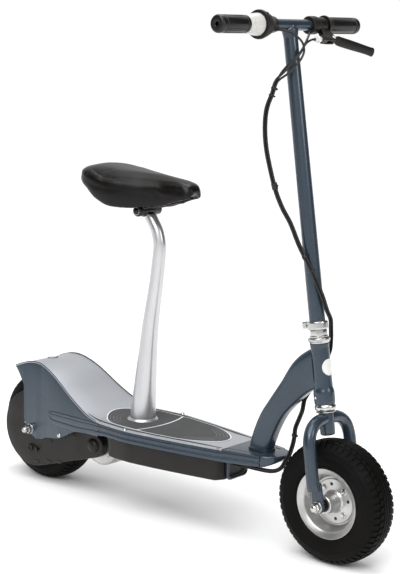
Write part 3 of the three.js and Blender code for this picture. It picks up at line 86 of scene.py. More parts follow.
FIT = 0.3
POST_X = -116.0
BRAKE_PIVOT = (-352.0, 152.0)
Surface = Callable[[float, float], Vector]


# Curves


@lru_cache(maxsize=None)
def slopes(xs: tuple[float, ...], ys: tuple[float, ...]) -> tuple[float, ...]:
    """Finds slopes that keep a curve through points from overshooting.

    Args:
        xs: Rising places.
        ys: The value at each place.

    Returns:
        The slope at each place.
    """
    steps = [(y1 - y0) / (x1 - x0) for x0, x1, y0, y1 in zip(xs, xs[1:], ys, ys[1:])]
    inner = [0.0 if a * b <= 0 else 2 * a * b / (a + b) for a, b in zip(steps, steps[1:])]
    return (steps[0], *inner, steps[-1])


def smooth_value(xs: Sequence[float], ys: Sequence[float], t: float) -> float:
    """Reads a smooth curve through points.

    Args:
        xs: Rising places.
        ys: The value at each place.
        t: The place to read, held within the first and last.

    Returns:
        The value there.
    """
    xs, ys = tuple(xs), tuple(ys)
    t = min(max(t, xs[0]), xs[-1])
    i = max(1, next(k for k, x in enumerate(xs) if x >= t))
    tangents = slopes(xs, ys)
    width = xs[i] - xs[i - 1]
    u = (t - xs[i - 1]) / width
    blend = u * u * (3 - 2 * u)
    bend = tangents[i - 1] * u * (1 - u) ** 2 - tangents[i] * u * u * (1 - u)
    return ys[i - 1] + (ys[i] - ys[i - 1]) * blend + width * bend


def broken_value(xs: Sequence[float], ys: Sequence[float], t: float) -> float:
    """Reads a line through points, broken at each of them."""
    i = max(1, next((k for k, x in enumerate(xs) if x >= t), len(xs) - 1))
    u = (t - xs[i - 1]) / (xs[i] - xs[i - 1])
    return ys[i - 1] + (ys[i] - ys[i - 1]) * u


def rounded(corners: Sequence[Sequence[float]], steps: int = 4, closed: bool = False) -> list[Vector]:
    """Rounds the corners of a line in a plane.

    Args:
        corners: Points of two numbers, or of three where the third is how much of each side the
            corner's curve takes.
        steps: Steps of each curve.
        closed: Whether the last point leads back to the first.

    Returns:
        The points of the rounded line.
    """
    points = [Vector(corner[:2]) for corner in corners]
    made = []
    for i, corner in enumerate(corners):
        ends = not closed and i in (0, len(corners) - 1)
        if len(corner) < 3 or ends:
            made.append(points[i])
            continue
        before, after = points[i - 1], points[(i + 1) % len(points)]
        reach = corner[2]
        start = points[i] + (before - points[i]).normalized() * reach
        end = points[i] + (after - points[i]).normalized() * reach
        for k in range(steps + 1):
            u = k / steps
            made.append(start * (1 - u) ** 2 + points[i] * 2 * u * (1 - u) + end * u * u)
    return made


class Route:
    """A smooth line through points, with a frame at each of its places."""

    def __init__(self, points: Sequence[Sequence[float]], per_span: int = 6) -> None:
        """Samples a curve through points.

        Args:
            points: The points to pass through, of three numbers each.
            per_span: Places sampled on each span between two points.
        """
        knots = [Vector(point) for point in points]
        lengths = [0.0]
        for a, b in zip(knots, knots[1:]):
            lengths.append(lengths[-1] + math.sqrt((b - a).length))
        tangents = []
        for i in range(len(knots)):
            j, k = max(0, i - 1), min(len(knots) - 1, i + 1)
            tangents.append((knots[k] - knots[j]) / (lengths[k] - lengths[j]))
        self.places: list[Vector] = [knots[0]]
        for i in range(1, len(knots)):
            width = lengths[i] - lengths[i - 1]
            for step in range(1, per_span + 1):
                u = step / per_span
                blend = u * u * (3 - 2 * u)
                place = knots[i - 1].lerp(knots[i], blend)
                place = place + tangents[i - 1] * width * u * (1 - u) ** 2
                self.places.append(place - tangents[i] * width * u * u * (1 - u))
        self.frames = self._frames()

    def _frames(self) -> list[tuple[Vector, Vector]]:
        """Carries a pair of side directions along the line without twisting them."""
        frames = []
        last = len(self.places) - 1
        side = None
        for i in range(len(self.places)):
            heading = (self.places[min(last, i + 1)] - self.places[max(0, i - 1)]).normalized()
            if side is None:
                level = Vector((0, 0, 1)) if abs(heading.z) < 0.9 else Vector((1, 0, 0))
                side = heading.cross(level)
            side = (side - heading * side.dot(heading)).normalized()
            frames.append((side.copy(), heading.cross(side)))
        return frames

    def surface(self, size: Callable[[float], tuple[float, float]]) -> Surface:
        """Wraps a tube round the line.

        Args:
            size: The two half widths at a share of the line.

        Returns:
            The surface over shares round and along.
        """

        def at(round_share: float, along_share: float) -> Vector:
            """The tube's place at a share round it and a share along it."""
            place = round(along_share * (len(self.places) - 1))
            side, up = self.frames[place]
            wide, deep = size(along_share)
            turn = round_share * math.tau
            return self.places[place] + side * math.cos(turn) * wide + up * math.sin(turn) * deep

        return at


def frame_at(origin: Sequence[float], x: Sequence[float], z: Sequence[float]) -> Matrix:
    """Makes a frame from its origin and its X and Z directions."""
    across, along = Vector(x).normalized(), Vector(z).normalized()
    turn = Matrix((across, along.cross(across), along)).transposed().to_4x4()
    return Matrix.Translation(Vector(origin)) @ turn


def across_y(x: float, z: float) -> Matrix:
    """Makes a frame about a line along Y, with heights as y values."""
    return frame_at((x, 0, z), (1, 0, 0), (0, 1, 0))


def upright(x: float, y: float, z: float) -> Matrix:
    """Makes a frame on top of something, with Z up."""
    return frame_at((x, y, z), (1, 0, 0), (0, 0, 1))


def outward(x: float, y: float, z: float, side: int) -> Matrix:
    """Makes a frame on one flank of the scooter, with Z out to that side."""
    return frame_at((x, y, z), (1, 0, 0), (0, side, 0))


def circle(count: int, radius: float, start: float = 0.0) -> list[Vector]:
    """Spaces points evenly round a circle.

    Args:
        count: How many points.
        radius: The circle's radius.
        start: The first point's angle in radians.

    Returns:
        The points, counter-clockwise.
    """
    turns = [start + math.tau * k / count for k in range(count)]
    return [Vector((radius * math.cos(turn), radius * math.sin(turn))) for turn in turns]


def evenly(low: float, high: float, steps: int) -> list[float]:
    """Spaces places evenly from one to another, with both ends."""
    return [low + (high - low) * i / steps for i in range(steps + 1)]


def section(x: float, corners: Iterable[Sequence[float]], side: int = 1) -> list[Vector]:
    """Stands an outline of Y and Z across the scooter, on one side or mirrored to the other."""
    return [Vector((x, side * y, z)) for y, z in corners]


# Meshes


class Form:
    """A mesh in progress, in millimetres."""

    def __init__(self) -> None:
        """Starts an empty mesh with its first finish."""
        self.mesh = bmesh.new()
        self.finish_index = 0

    def _mark(self) -> tuple[set, set]:
        """Remembers the points and faces so far."""
        return set(self.mesh.verts), set(self.mesh.faces)

    def _settle(self, mark: tuple[set, set], frame: Matrix | None) -> list:
        """Moves what came after a mark into a frame and gives it the finish in use."""
        if frame is not None:
            verts = [vert for vert in self.mesh.verts if vert not in mark[0]]
            bmesh.ops.transform(self.mesh, matrix=frame, verts=verts)
        faces = [face for face in self.mesh.faces if face not in mark[1]]
        for face in faces:
            face.material_index = self.finish_index
        return faces

    def patch(self, surface: Surface, columns: int, rows: int, frame: Matrix | None = None) -> list:
        """Lays a grid on a surface.

        Args:
            surface: The place at two shares.
            columns: Faces along the first share.
            rows: Faces along the second share.
            frame: The frame that the surface is given in.

        Returns:
            The new faces.
        """
        made = bmesh.ops.create_grid(self.mesh, x_segments=columns, y_segments=rows, size=0.5)
        verts = made["verts"]
        for vert in verts:
            place = surface(vert.co.x + 0.5, vert.co.y + 0.5)
            vert.co = frame @ place if frame is not None else place
        faces = list({face for vert in verts for face in vert.link_faces})
        for face in faces:
            face.material_index = self.finish_index
        return faces

    def loft(
        self, rings: Sequence[Sequence[Vector]], frame: Matrix | None = None, caps: bool = True
    ) -> list:
        """Skins a row of closed rings.

        Args:
            rings: The rings, of equal counts.
            frame: The frame that they are given in.
            caps: Whether the two ends are closed.

        Returns:
            The new faces.
        """
        around, along = len(rings[0]), len(rings) - 1

        def at(u: float, v: float) -> Vector:
            """The rings' place at a share round and a share along."""
            return rings[round(v * along)][round(u * around) % around]

        faces = self.patch(at, around, along, frame)
        verts = list({vert for face in faces for vert in face.verts})
        bmesh.ops.remove_doubles(self.mesh, verts=verts, dist=WELD)
        faces = [face for face in faces if face.is_valid]
        if caps:
            rims = list({edge for face in faces for edge in face.edges if edge.is_boundary})
            made = bmesh.ops.holes_fill(self.mesh, edges=rims, sides=0)["faces"]
            for face in made:
                face.material_index = self.finish_index
            faces += made
        return faces

    def turned(
        self, profile: Sequence, frame: Matrix | None = None, steps: int = 64, closed: bool = False
    ) -> list:
        """Turns a profile about the frame's Z.

        Args:
            profile: Points of a radius and a height.
            frame: The frame that it turns in.
            steps: Steps of the full turn.
            closed: Whether the last point leads back to the first.

        Returns:
            The new faces.
        """
        mark = self._mark()
        verts = [self.mesh.verts.new((point[0], 0, point[1])) for point in profile]
        pairs = list(zip(verts, verts[1:])) + ([(verts[-1], verts[0])] if closed else [])
        edges = [self.mesh.edges.new(pair) for pair in pairs]
        bmesh.ops.spin(
            self.mesh, geom=verts + edges, cent=(0, 0, 0), axis=(0, 0, 1), angle=math.tau,
            steps=steps, use_merge=True, use_duplicate=False,
        )
        return self._settle(mark, frame)

    def plate(
        self, outline: Sequence, low: float, high: float, frame: Matrix | None = None,
        bevel: float = 0.0, segments: int = 3,
    ) -> list:
        """Raises an outline between two heights.

        Args:
            outline: Points of two numbers.
            low: The base's height.
            high: The top's height.
            frame: The frame that it stands in.
            bevel: How far the edges of the base and the top are rounded.
            segments: Steps of that rounding.

        Returns:
            The new faces.
        """
        mark = self._mark()
        verts = [self.mesh.verts.new((point[0], point[1], low)) for point in outline]
        base = self.mesh.faces.new(verts)
        raised = bmesh.ops.extrude_face_region(self.mesh, geom=[base], use_keep_orig=True)["geom"]
        top = [item for item in raised if isinstance(item, bmesh.types.BMVert)]
        bmesh.ops.translate(self.mesh, vec=(0, 0, high - low), verts=top)
        if bevel > 0:
            caps = [base] + [item for item in raised if isinstance(item, bmesh.types.BMFace)]
            rim = list({edge for face in caps for edge in face.edges})
            bmesh.ops.bevel(
                self.mesh, geom=rim, offset=bevel, segments=segments, profile=0.5,
                affect="EDGES", material=-1,
            )
        return self._settle(mark, frame)

    def block(
        self, low: Sequence[float], high: Sequence[float], frame: Matrix | None = None,
        bevel: float = 0.0, segments: int = 3,
    ) -> list:
        """Makes a block between two corners and returns its faces."""
        outline = [(low[0], low[1]), (high[0], low[1]), (high[0], high[1]), (low[0], high[1])]
        return self.plate(outline, low[2], high[2], frame, bevel, segments)

    def tube(self, route: Route, radius: float, sides: int = 16, caps: bool = True) -> list:
        """Makes a round rod along a route and returns its faces."""
        return self.swept(route, lambda _: (radius, radius), sides, caps)

    def swept(
        self, route: Route, size: Callable[[float], tuple[float, float]], sides: int = 16,
        caps: bool = True,
    ) -> list:
        """Makes a rod of changing section along a route and returns its faces."""
        last = len(route.places) - 1
        at = route.surface(size)
        rings = [[at(k / sides, i / last) for k in range(sides)] for i in range(last + 1)]
        return self.loft(rings, None, caps)

    def bolt(self, frame: Matrix, radius: float, height: float, dome: float = 0.0) -> None:
        """Adds a hexagon head on its frame's base, with a dome on it."""
        chamfer = radius * 0.14
        self.plate(circle(6, radius), 0, height, frame, bevel=chamfer, segments=2)
        if dome > 0:
            shares = [(0.72, 0), (0.72, 0.25), (0.66, 0.55), (0.5, 0.82), (0.26, 0.96), (0, 1)]
            self.turned([(radius * r, height + dome * h) for r, h in shares], frame, 24)

    def screw(self, frame: Matrix, radius: float, height: float) -> None:
        """Adds a low round screw head with a socket in it."""
        profile = [
            (radius, 0), (radius, height * 0.5), (radius * 0.8, height), (radius * 0.45, height),
            (radius * 0.4, height * 0.35), (0, height * 0.3),
        ]
        self.turned(profile, frame, 16)

    def weld(self) -> None:
        """Merges the points that lie on each other."""
        bmesh.ops.remove_doubles(self.mesh, verts=self.mesh.verts, dist=WELD)

    def done(
        self, name: str, body: str | None, finishes: Sequence["Finish"], replaces: Iterable[str] = (),
        sharp: float = 38.0,
    ) -> bpy.types.Object:
        """Turns the mesh into a piece.

        Args:
            name: The piece's name.
            body: The body that it rides on, or None for a piece that rides on no body.
            finishes: The finishes that its faces name by number.
            replaces: The drawn nodes that it stands for.
            sharp: The angle in degrees past which an edge stays sharp.

        Returns:
            The new object.
        """
        self.weld()
        bmesh.ops.recalc_face_normals(self.mesh, faces=self.mesh.faces)
        bmesh.ops.scale(self.mesh, vec=(MM, MM, MM), verts=self.mesh.verts)
        data = bpy.data.meshes.new(name)
        self.mesh.to_mesh(data)
        self.mesh.free()
        for polygon in data.polygons:
            polygon.use_smooth = True
        data.set_sharp_from_angle(angle=math.radians(sharp))
        piece = bpy.data.objects.new(name, data)
        bpy.context.scene.collection.objects.link(piece)
        for finish in finishes:
            data.materials.append(finish.material())
        if body is not None:
            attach(piece, body)
        nodes = list(replaces)
        if nodes:
            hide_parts(*nodes)
        LOG.info("%s: %d faces", name, len(data.polygons))
        return piece


# Finishes


def linear(code: str) -> tuple[float, float, float, float]:
    """Turns a six-digit colour code into a linear colour."""
    parts = [int(code[i:i + 2], 16) / 255 for i in (0, 2, 4)]
    low = [p / 12.92 if p <= 0.04045 else ((p + 0.055) / 1.055) ** 2.4 for p in parts]
    return (*low, 1.0)


class Grain(Enum):
    """The kinds of fine surface that a finish can have."""

    FLAKE = "flake"
    PEBBLE = "pebble"
    CAST = "cast"
    BRUSHED = "brushed"
    GRIT = "grit"


class Nodes:
    """Adds nodes to one node tree."""

    def __init__(self, tree: bpy.types.NodeTree) -> None:
        """Empties the tree."""
        self.tree = tree
        tree.nodes.clear()

    def add(self, kind: str, inputs: dict | None = None, **settings) -> bpy.types.Node:
        """Adds a node.

        Args:
            kind: Blender's kind of node.
            inputs: What each input is linked to or set to.
            **settings: The node's own settings.

        Returns:
            The new node.
        """
        node = self.tree.nodes.new(kind)
        for key, value in settings.items():
            setattr(node, key, value)
        for key, value in (inputs or {}).items():
            if isinstance(value, bpy.types.NodeSocket):
                self.tree.links.new(value, node.inputs[key])
            else:
                node.inputs[key].default_value = value
        return node

    def math(self, operation: str, a, b=0.0) -> bpy.types.NodeSocket:
        """Works out one sum."""
        return self.add("ShaderNodeMath", {0: a, 1: b}, operation=operation).outputs[0]

    def mix(self, share, a, b) -> bpy.types.NodeSocket:
        """Mixes two colours by a share."""
        node = self.add("ShaderNodeMix", {0: share, 6: a, 7: b}, data_type="RGBA")
        return node.outputs[2]

    def span(self, value, low: float, high: float, start: float = 0.0, end: float = 1.0):
        """Maps a value from one range to another and holds it there."""
        places = {"Value": value, "From Min": low, "From Max": high, "To Min": start, "To Max": end}
        return self.add("ShaderNodeMapRange", places, clamp=True).outputs["Result"]

    def group(self, tree: bpy.types.NodeTree, **inputs) -> bpy.types.Node:
        """Adds a group node with its inputs."""
        return self.add("ShaderNodeGroup", inputs, node_tree=tree)


@lru_cache(maxsize=None)
def grain_group(grain: Grain) -> bpy.types.NodeTree:
    """Makes the shared group of one grain.

    Args:
        grain: The kind of fine surface.

    Returns:
        The group, which gives a height and a mask over object places.
    """
    tree = bpy.data.node_groups.new(f"grain_{grain.value}", "ShaderNodeTree")
    face = tree.interface
    face.new_socket("Place", in_out="INPUT", socket_type="NodeSocketVector")
    face.new_socket("Scale", in_out="INPUT", socket_type="NodeSocketFloat")
    face.new_socket("Height", in_out="OUTPUT", socket_type="NodeSocketFloat")
    face.new_socket("Mask", in_out="OUTPUT", socket_type="NodeSocketFloat")
    nodes = Nodes(tree)
    given = nodes.add("NodeGroupInput")
    place, scale = given.outputs["Place"], given.outputs["Scale"]
    if grain is Grain.BRUSHED:
        stretch = nodes.add("ShaderNodeMapping", {"Vector": place, "Scale": (0.06, 0.06, 1.0)})
        place = stretch.outputs["Vector"]
    if grain in (Grain.PEBBLE, Grain.FLAKE):
        cells = nodes.add(
            "ShaderNodeTexVoronoi", {"Vector": place, "Scale": scale},
            feature="SMOOTH_F1" if grain is Grain.PEBBLE else "F1",
        )
        height = nodes.math("SUBTRACT", 1.0, cells.outputs["Distance"])
        mask = nodes.add("ShaderNodeSeparateColor", {"Color": cells.outputs["Color"]}).outputs[0]
        if grain is Grain.PEBBLE:
            finer = nodes.math("MULTIPLY", scale, 2.1)
            soft = nodes.add("ShaderNodeTexNoise", {"Vector": place, "Scale": finer})
            height = nodes.math("ADD", height, nodes.math("MULTIPLY", soft.outputs["Fac"], 0.4))
            mask = height
    else:
        detail = 8.0 if grain is Grain.GRIT else 4.0
        fine = nodes.add(
            "ShaderNodeTexNoise", {"Vector": place, "Scale": scale, "Detail": detail, "Roughness": 0.65}
        )
        height = mask = fine.outputs["Fac"]
    nodes.add("NodeGroupOutput", {"Height": height, "Mask": mask})
    return tree


@lru_cache(maxsize=None)
def mottle_group() -> bpy.types.NodeTree:
    """Makes the shared group of soft blotches, and of dust that thins out upwards."""
    tree = bpy.data.node_groups.new("mottle", "ShaderNodeTree")
    face = tree.interface
    face.new_socket("Place", in_out="INPUT", socket_type="NodeSocketVector")
    face.new_socket("Scale", in_out="INPUT", socket_type="NodeSocketFloat")
    face.new_socket("Reach", in_out="INPUT", socket_type="NodeSocketFloat")
    face.new_socket("Mask", in_out="OUTPUT", socket_type="NodeSocketFloat")
    face.new_socket("Dust", in_out="OUTPUT", socket_type="NodeSocketFloat")
    nodes = Nodes(tree)
    given = nodes.add("NodeGroupInput")
    place = given.outputs["Place"]
    soft = nodes.add(
        "ShaderNodeTexNoise", {"Vector": place, "Scale": given.outputs["Scale"], "Detail": 5.0}
    ).outputs["Fac"]
    mask = nodes.span(soft, 0.32, 0.68)
    height = nodes.add("ShaderNodeSeparateXYZ", {"Vector": place}).outputs["Z"]
    fall = nodes.math("SUBTRACT", 1.0, nodes.math("DIVIDE", height, given.outputs["Reach"]))
    broken = nodes.math("MULTIPLY", nodes.math("MAXIMUM", fall, 0.0), nodes.span(soft, 0.38, 0.72))
    nodes.add("NodeGroupOutput", {"Mask": mask, "Dust": broken})
    return tree


@dataclass(frozen=True)
class Finish:
    """A procedural finish, with its two tones, its gloss, its grain and its dust."""

    name: str
    slot: str
    tone: str
    second_tone: str
    roughness: float
    rough_spread: float = 0.08
    metallic: float = 0.0
    grain: Grain = Grain.CAST
    grain_scale: float = 900.0
    grain_height: float = 0.05
    grain_tint: float = 0.0
    mottle_scale: float = 18.0
    coat: float = 0.0
    coat_roughness: float = 0.08
    dust: float = 0.0
    specular: float = 0.5
    see_through: float = 0.0

    def material(self) -> bpy.types.Material:
        """Gives the finish's material, which is made once."""
        return bpy.data.materials.get(self.name) or self._make()

    def _make(self) -> bpy.types.Material:
        """Makes the node tree of the finish."""
        material = bpy.data.materials.new(self.name)
        material.use_nodes = True
        nodes = Nodes(material.node_tree)
        place = nodes.add("ShaderNodeTexCoord").outputs["Object"]
        grain = nodes.group(grain_group(self.grain), Place=place, Scale=self.grain_scale)
        mottle = nodes.group(mottle_group(), Place=place, Scale=self.mottle_scale, Reach=0.22)
        colour = nodes.mix(mottle.outputs["Mask"], linear(self.tone), linear(self.second_tone))
        if self.grain_tint:
            share = nodes.math("MULTIPLY", grain.outputs["Mask"], self.grain_tint)
            colour = nodes.mix(share, colour, linear("f2f2f2"))
        if self.dust:
            share = nodes.math("MULTIPLY", mottle.outputs["Dust"], self.dust)
            colour = nodes.mix(share, colour, linear("8d857b"))
        low, high = self.roughness - self.rough_spread, self.roughness + self.rough_spread
        rough = nodes.span(mottle.outputs["Mask"], 0.0, 1.0, low, high)
        bump = nodes.add("ShaderNodeBump", {
            "Height": grain.outputs["Height"], "Strength": 1.0, "Distance": self.grain_height * MM,
        })
        shader = nodes.add("ShaderNodeBsdfPrincipled", {
            "Base Color": colour, "Roughness": rough, "Metallic": self.metallic,
            "Normal": bump.outputs["Normal"], "Specular IOR Level": self.specular,
            "Coat Weight": self.coat, "Coat Roughness": self.coat_roughness,
            "Transmission Weight": self.see_through,
        })
        nodes.add("ShaderNodeOutputMaterial", {"Surface": shader.outputs["BSDF"]})
        return material


PAINT = Finish("blue_grey_paint", "frame_paint", "2c3a47", "293642", 0.27, rough_spread=0.02,
               metallic=0.35, grain=Grain.FLAKE, grain_scale=2600, grain_height=0.0012,
               grain_tint=0.012, coat=0.35, coat_roughness=0.14, dust=0.03, specular=0.4)
SILVER = Finish("deck_silver_paint", "silver_paint", "a6a9ae", "a1a4aa", 0.36, rough_spread=0.025,
                metallic=0.6, grain=Grain.FLAKE, grain_scale=3000, grain_height=0.0015,
                grain_tint=0.1, coat=0.2, coat_roughness=0.18)
POST = Finish("satin_silver_post", "silver_paint", "c6c6c8", "c1c1c4", 0.3, rough_spread=0.01,
              metallic=0.85, grain=Grain.FLAKE, grain_scale=2600, grain_height=0.0012,
              grain_tint=0.08, coat=0.25)
ALLOY = Finish("cast_alloy", "wheel_alloy", "c2c2c1", "b1b0af", 0.33, metallic=0.85, grain=Grain.CAST,
               grain_scale=1400, grain_height=0.02, dust=0.05)
BRIGHT = Finish("plated_steel", "bright_steel", "cbcbc9", "b9b9b8", 0.2, rough_spread=0.05, metallic=1.0,
                grain=Grain.BRUSHED, grain_scale=2200, grain_height=0.008)
DRIVE = Finish("zinc_steel", "drive_steel", "a9a8a2", "8f8d86", 0.38, metallic=0.95, grain=Grain.BRUSHED,
               grain_scale=1800, grain_height=0.02, dust=0.1)
CHAIN = Finish("oiled_chain_steel", "chain_steel", "3f3c38", "2c2a27", 0.36, metallic=0.9, grain=Grain.CAST,
               grain_scale=1500, grain_height=0.03)
PLASTIC = Finish("brown_black_plastic", "case_plastic", "15110f", "110e0c", 0.42, grain=Grain.PEBBLE,
                 grain_scale=1500, grain_height=0.025, specular=0.3, dust=0.02)
SHELL = Finish("battery_shell_plastic", "battery_shell", "3c3f44", "33363b", 0.45, grain=Grain.CAST,
               grain_scale=700, grain_height=0.04)
BLACK_STEEL = Finish("black_enamel_steel", "black_steel", "060607", "040405", 0.3, grain=Grain.CAST,
                     grain_scale=1100, grain_height=0.02, coat=0.1, specular=0.35)
VINYL = Finish("saddle_vinyl", "seat_vinyl", "0e0b0a", "0b0908", 0.34, rough_spread=0.03,
               grain=Grain.PEBBLE, grain_scale=820, grain_height=0.035, coat=0.05,
               coat_roughness=0.2, specular=0.22, mottle_scale=9)
SEAT_BASE = Finish("seat_base_plastic", "seat_base", "141212", "0e0d0d", 0.5, grain=Grain.PEBBLE,
                   grain_scale=1300, grain_height=0.04, specular=0.35)
RUBBER = Finish("black_grip_rubber", "black_rubber", "0e0c0c", "0a0909", 0.33, grain=Grain.PEBBLE,
                grain_scale=1900, grain_height=0.02, specular=0.45)
SHEATH = Finish("cable_sheath_plastic", "cable_sheath", "0f0e0e", "0b0a0a", 0.34, grain=Grain.CAST,
                grain_scale=1600, grain_height=0.015, specular=0.45)
TYRE = Finish("tyre_compound", "tyre_rubber", "070605", "050404", 0.62, grain=Grain.CAST, grain_scale=1100,
              grain_height=0.04, dust=0.02, specular=0.1)
GRIT = Finish("grip_sheet_grit", "grip_sheet", "313233", "2b2c2d", 0.92, grain=Grain.GRIT, grain_scale=1800,
              grain_height=0.2, grain_tint=0.1, specular=0.2)
GRIT_DARK = Finish("grip_sheet_dark", "grip_sheet", "24272a", "1f2225", 0.9, grain=Grain.GRIT,
                   grain_scale=1800, grain_height=0.2, grain_tint=0.08, specular=0.2)
SLEEVE = Finish("milky_sleeve", "sleeve_white", "dddcd8", "d3d2ce", 0.34, grain=Grain.CAST, grain_scale=900,
                grain_height=0.015, see_through=0.25, specular=0.5)
FAINT = Finish("faint_pad_lines", "grip_sheet", "85888c", "7c7f83", 0.7, grain=Grain.CAST, grain_scale=2400,
               grain_height=0.004, specular=0.25)
LINE = Finish("pale_print_lines", "silver_paint", "e8eaee", "dfe1e6", 0.42, metallic=0.25, grain=Grain.CAST,
              grain_scale=2400, grain_height=0.004)
# One dark finish for the real bearing seals and for painted shade in holes, slots and the steerer's open
# end.
SEAL_AND_HOLE_SHADE = Finish("dark_bearing_seal", "", "0b0a09", "070606", 0.5, grain=Grain.CAST, grain_scale=900,
              grain_height=0.03)
BADGE = Finish("plain_badge_enamel", "", "dadad6", "cfcfcb", 0.28, grain=Grain.CAST, grain_scale=700,
               grain_height=0.01, coat=0.3)
ADJUSTER = Finish("pale_adjuster", "", "dcdcda", "cdcdcb", 0.3, metallic=0.3, grain=Grain.BRUSHED,
                  grain_scale=1500, grain_height=0.02)


# Shared places


@dataclass(frozen=True)
class Steering:
    """Sizes of the steering column, as distances up the steering axis from the axle's level."""

    wheelbase: float = 812.0
    tyre_radius: float = 125.0
    rake: float = math.radians(9)
    offset: float = 3.0
    bar_height: float = 1050.0

    @property
    def frame(self) -> Matrix:
        """The column's frame, with Z up the steering axis and X ahead of it."""
        sine, cosine = math.sin(self.rake), math.cos(self.rake)
        origin = (self.wheelbase / 2 - self.offset * cosine, 0, self.tyre_radius - self.offset * sine)
        return frame_at(origin, (cosine, 0, sine), (-sine, 0, cosine))

    @property
    def bar_up(self) -> float:
        """How far up the axis the handlebar lies."""
        return (self.bar_height - self.frame.translation.z) / math.cos(self.rake)

    @property
    def bar_x(self) -> float:
        """Where the handlebar lies along the scooter."""
        return self.frame.translation.x - self.bar_up * math.sin(self.rake)


STEERING = Steering()
FRONT_X, REAR_X = STEERING.wheelbase / 2, -STEERING.wheelbase / 2
AXLE_Z = STEERING.tyre_radius


@dataclass(frozen=True)
class Deck:
    """Sizes of the deck's plan and of its rails."""

    top: float = 191.0
    sheet: float = 3.0
    half_width: float = 95.5
    tail_half: float = 66.0
    nose_half: float = 40.0
    widest_x: float = -85.0
    straight_x: float = -370.0
    nose_base_x: float = 250.0
    rail_height: float = 24.0
    rail_proud: float = 2.0
    seam_x: float = -168.0
    plate_front_x: float = 159.0
    tail_x: float = -455.0
    fender_crest: float = 284.0

    def half(self, x: float) -> float:
        """Half the deck's width at a place along it."""
        if x > self.widest_x:
            t = (x - self.widest_x) / (self.nose_base_x - self.widest_x)
            return self.half_width - (self.half_width - self.nose_half) * t ** 1.3
        t = min(1.0, (self.widest_x - x) / (self.widest_x - self.straight_x))
        return self.half_width - (self.half_width - self.tail_half) * t ** 1.2

    @property
    def rail_base(self) -> float:
        """The height of the rails' lower edge."""
        return self.top - self.sheet - self.rail_height

    def fender_z(self, x: float) -> float:
        """The height of the rear fender at a place along it."""
        shares = (0, 0.073, 0.174, 0.233, 0.282, 0.373, 0.453, 0.54, 0.599, 0.672, 0.77, 0.864, 0.941, 1)
        heights = (0.806, 0.898, 0.985, 1, 0.99, 0.909, 0.8, 0.645, 0.527, 0.387, 0.226, 0.09, 0.025, 0)
        t = (x - self.tail_x) / (self.seam_x - self.tail_x)
        return self.top + (self.fender_crest - self.top) * smooth_value(shares, heights, t)


DECK = Deck()


# The photograph's stage


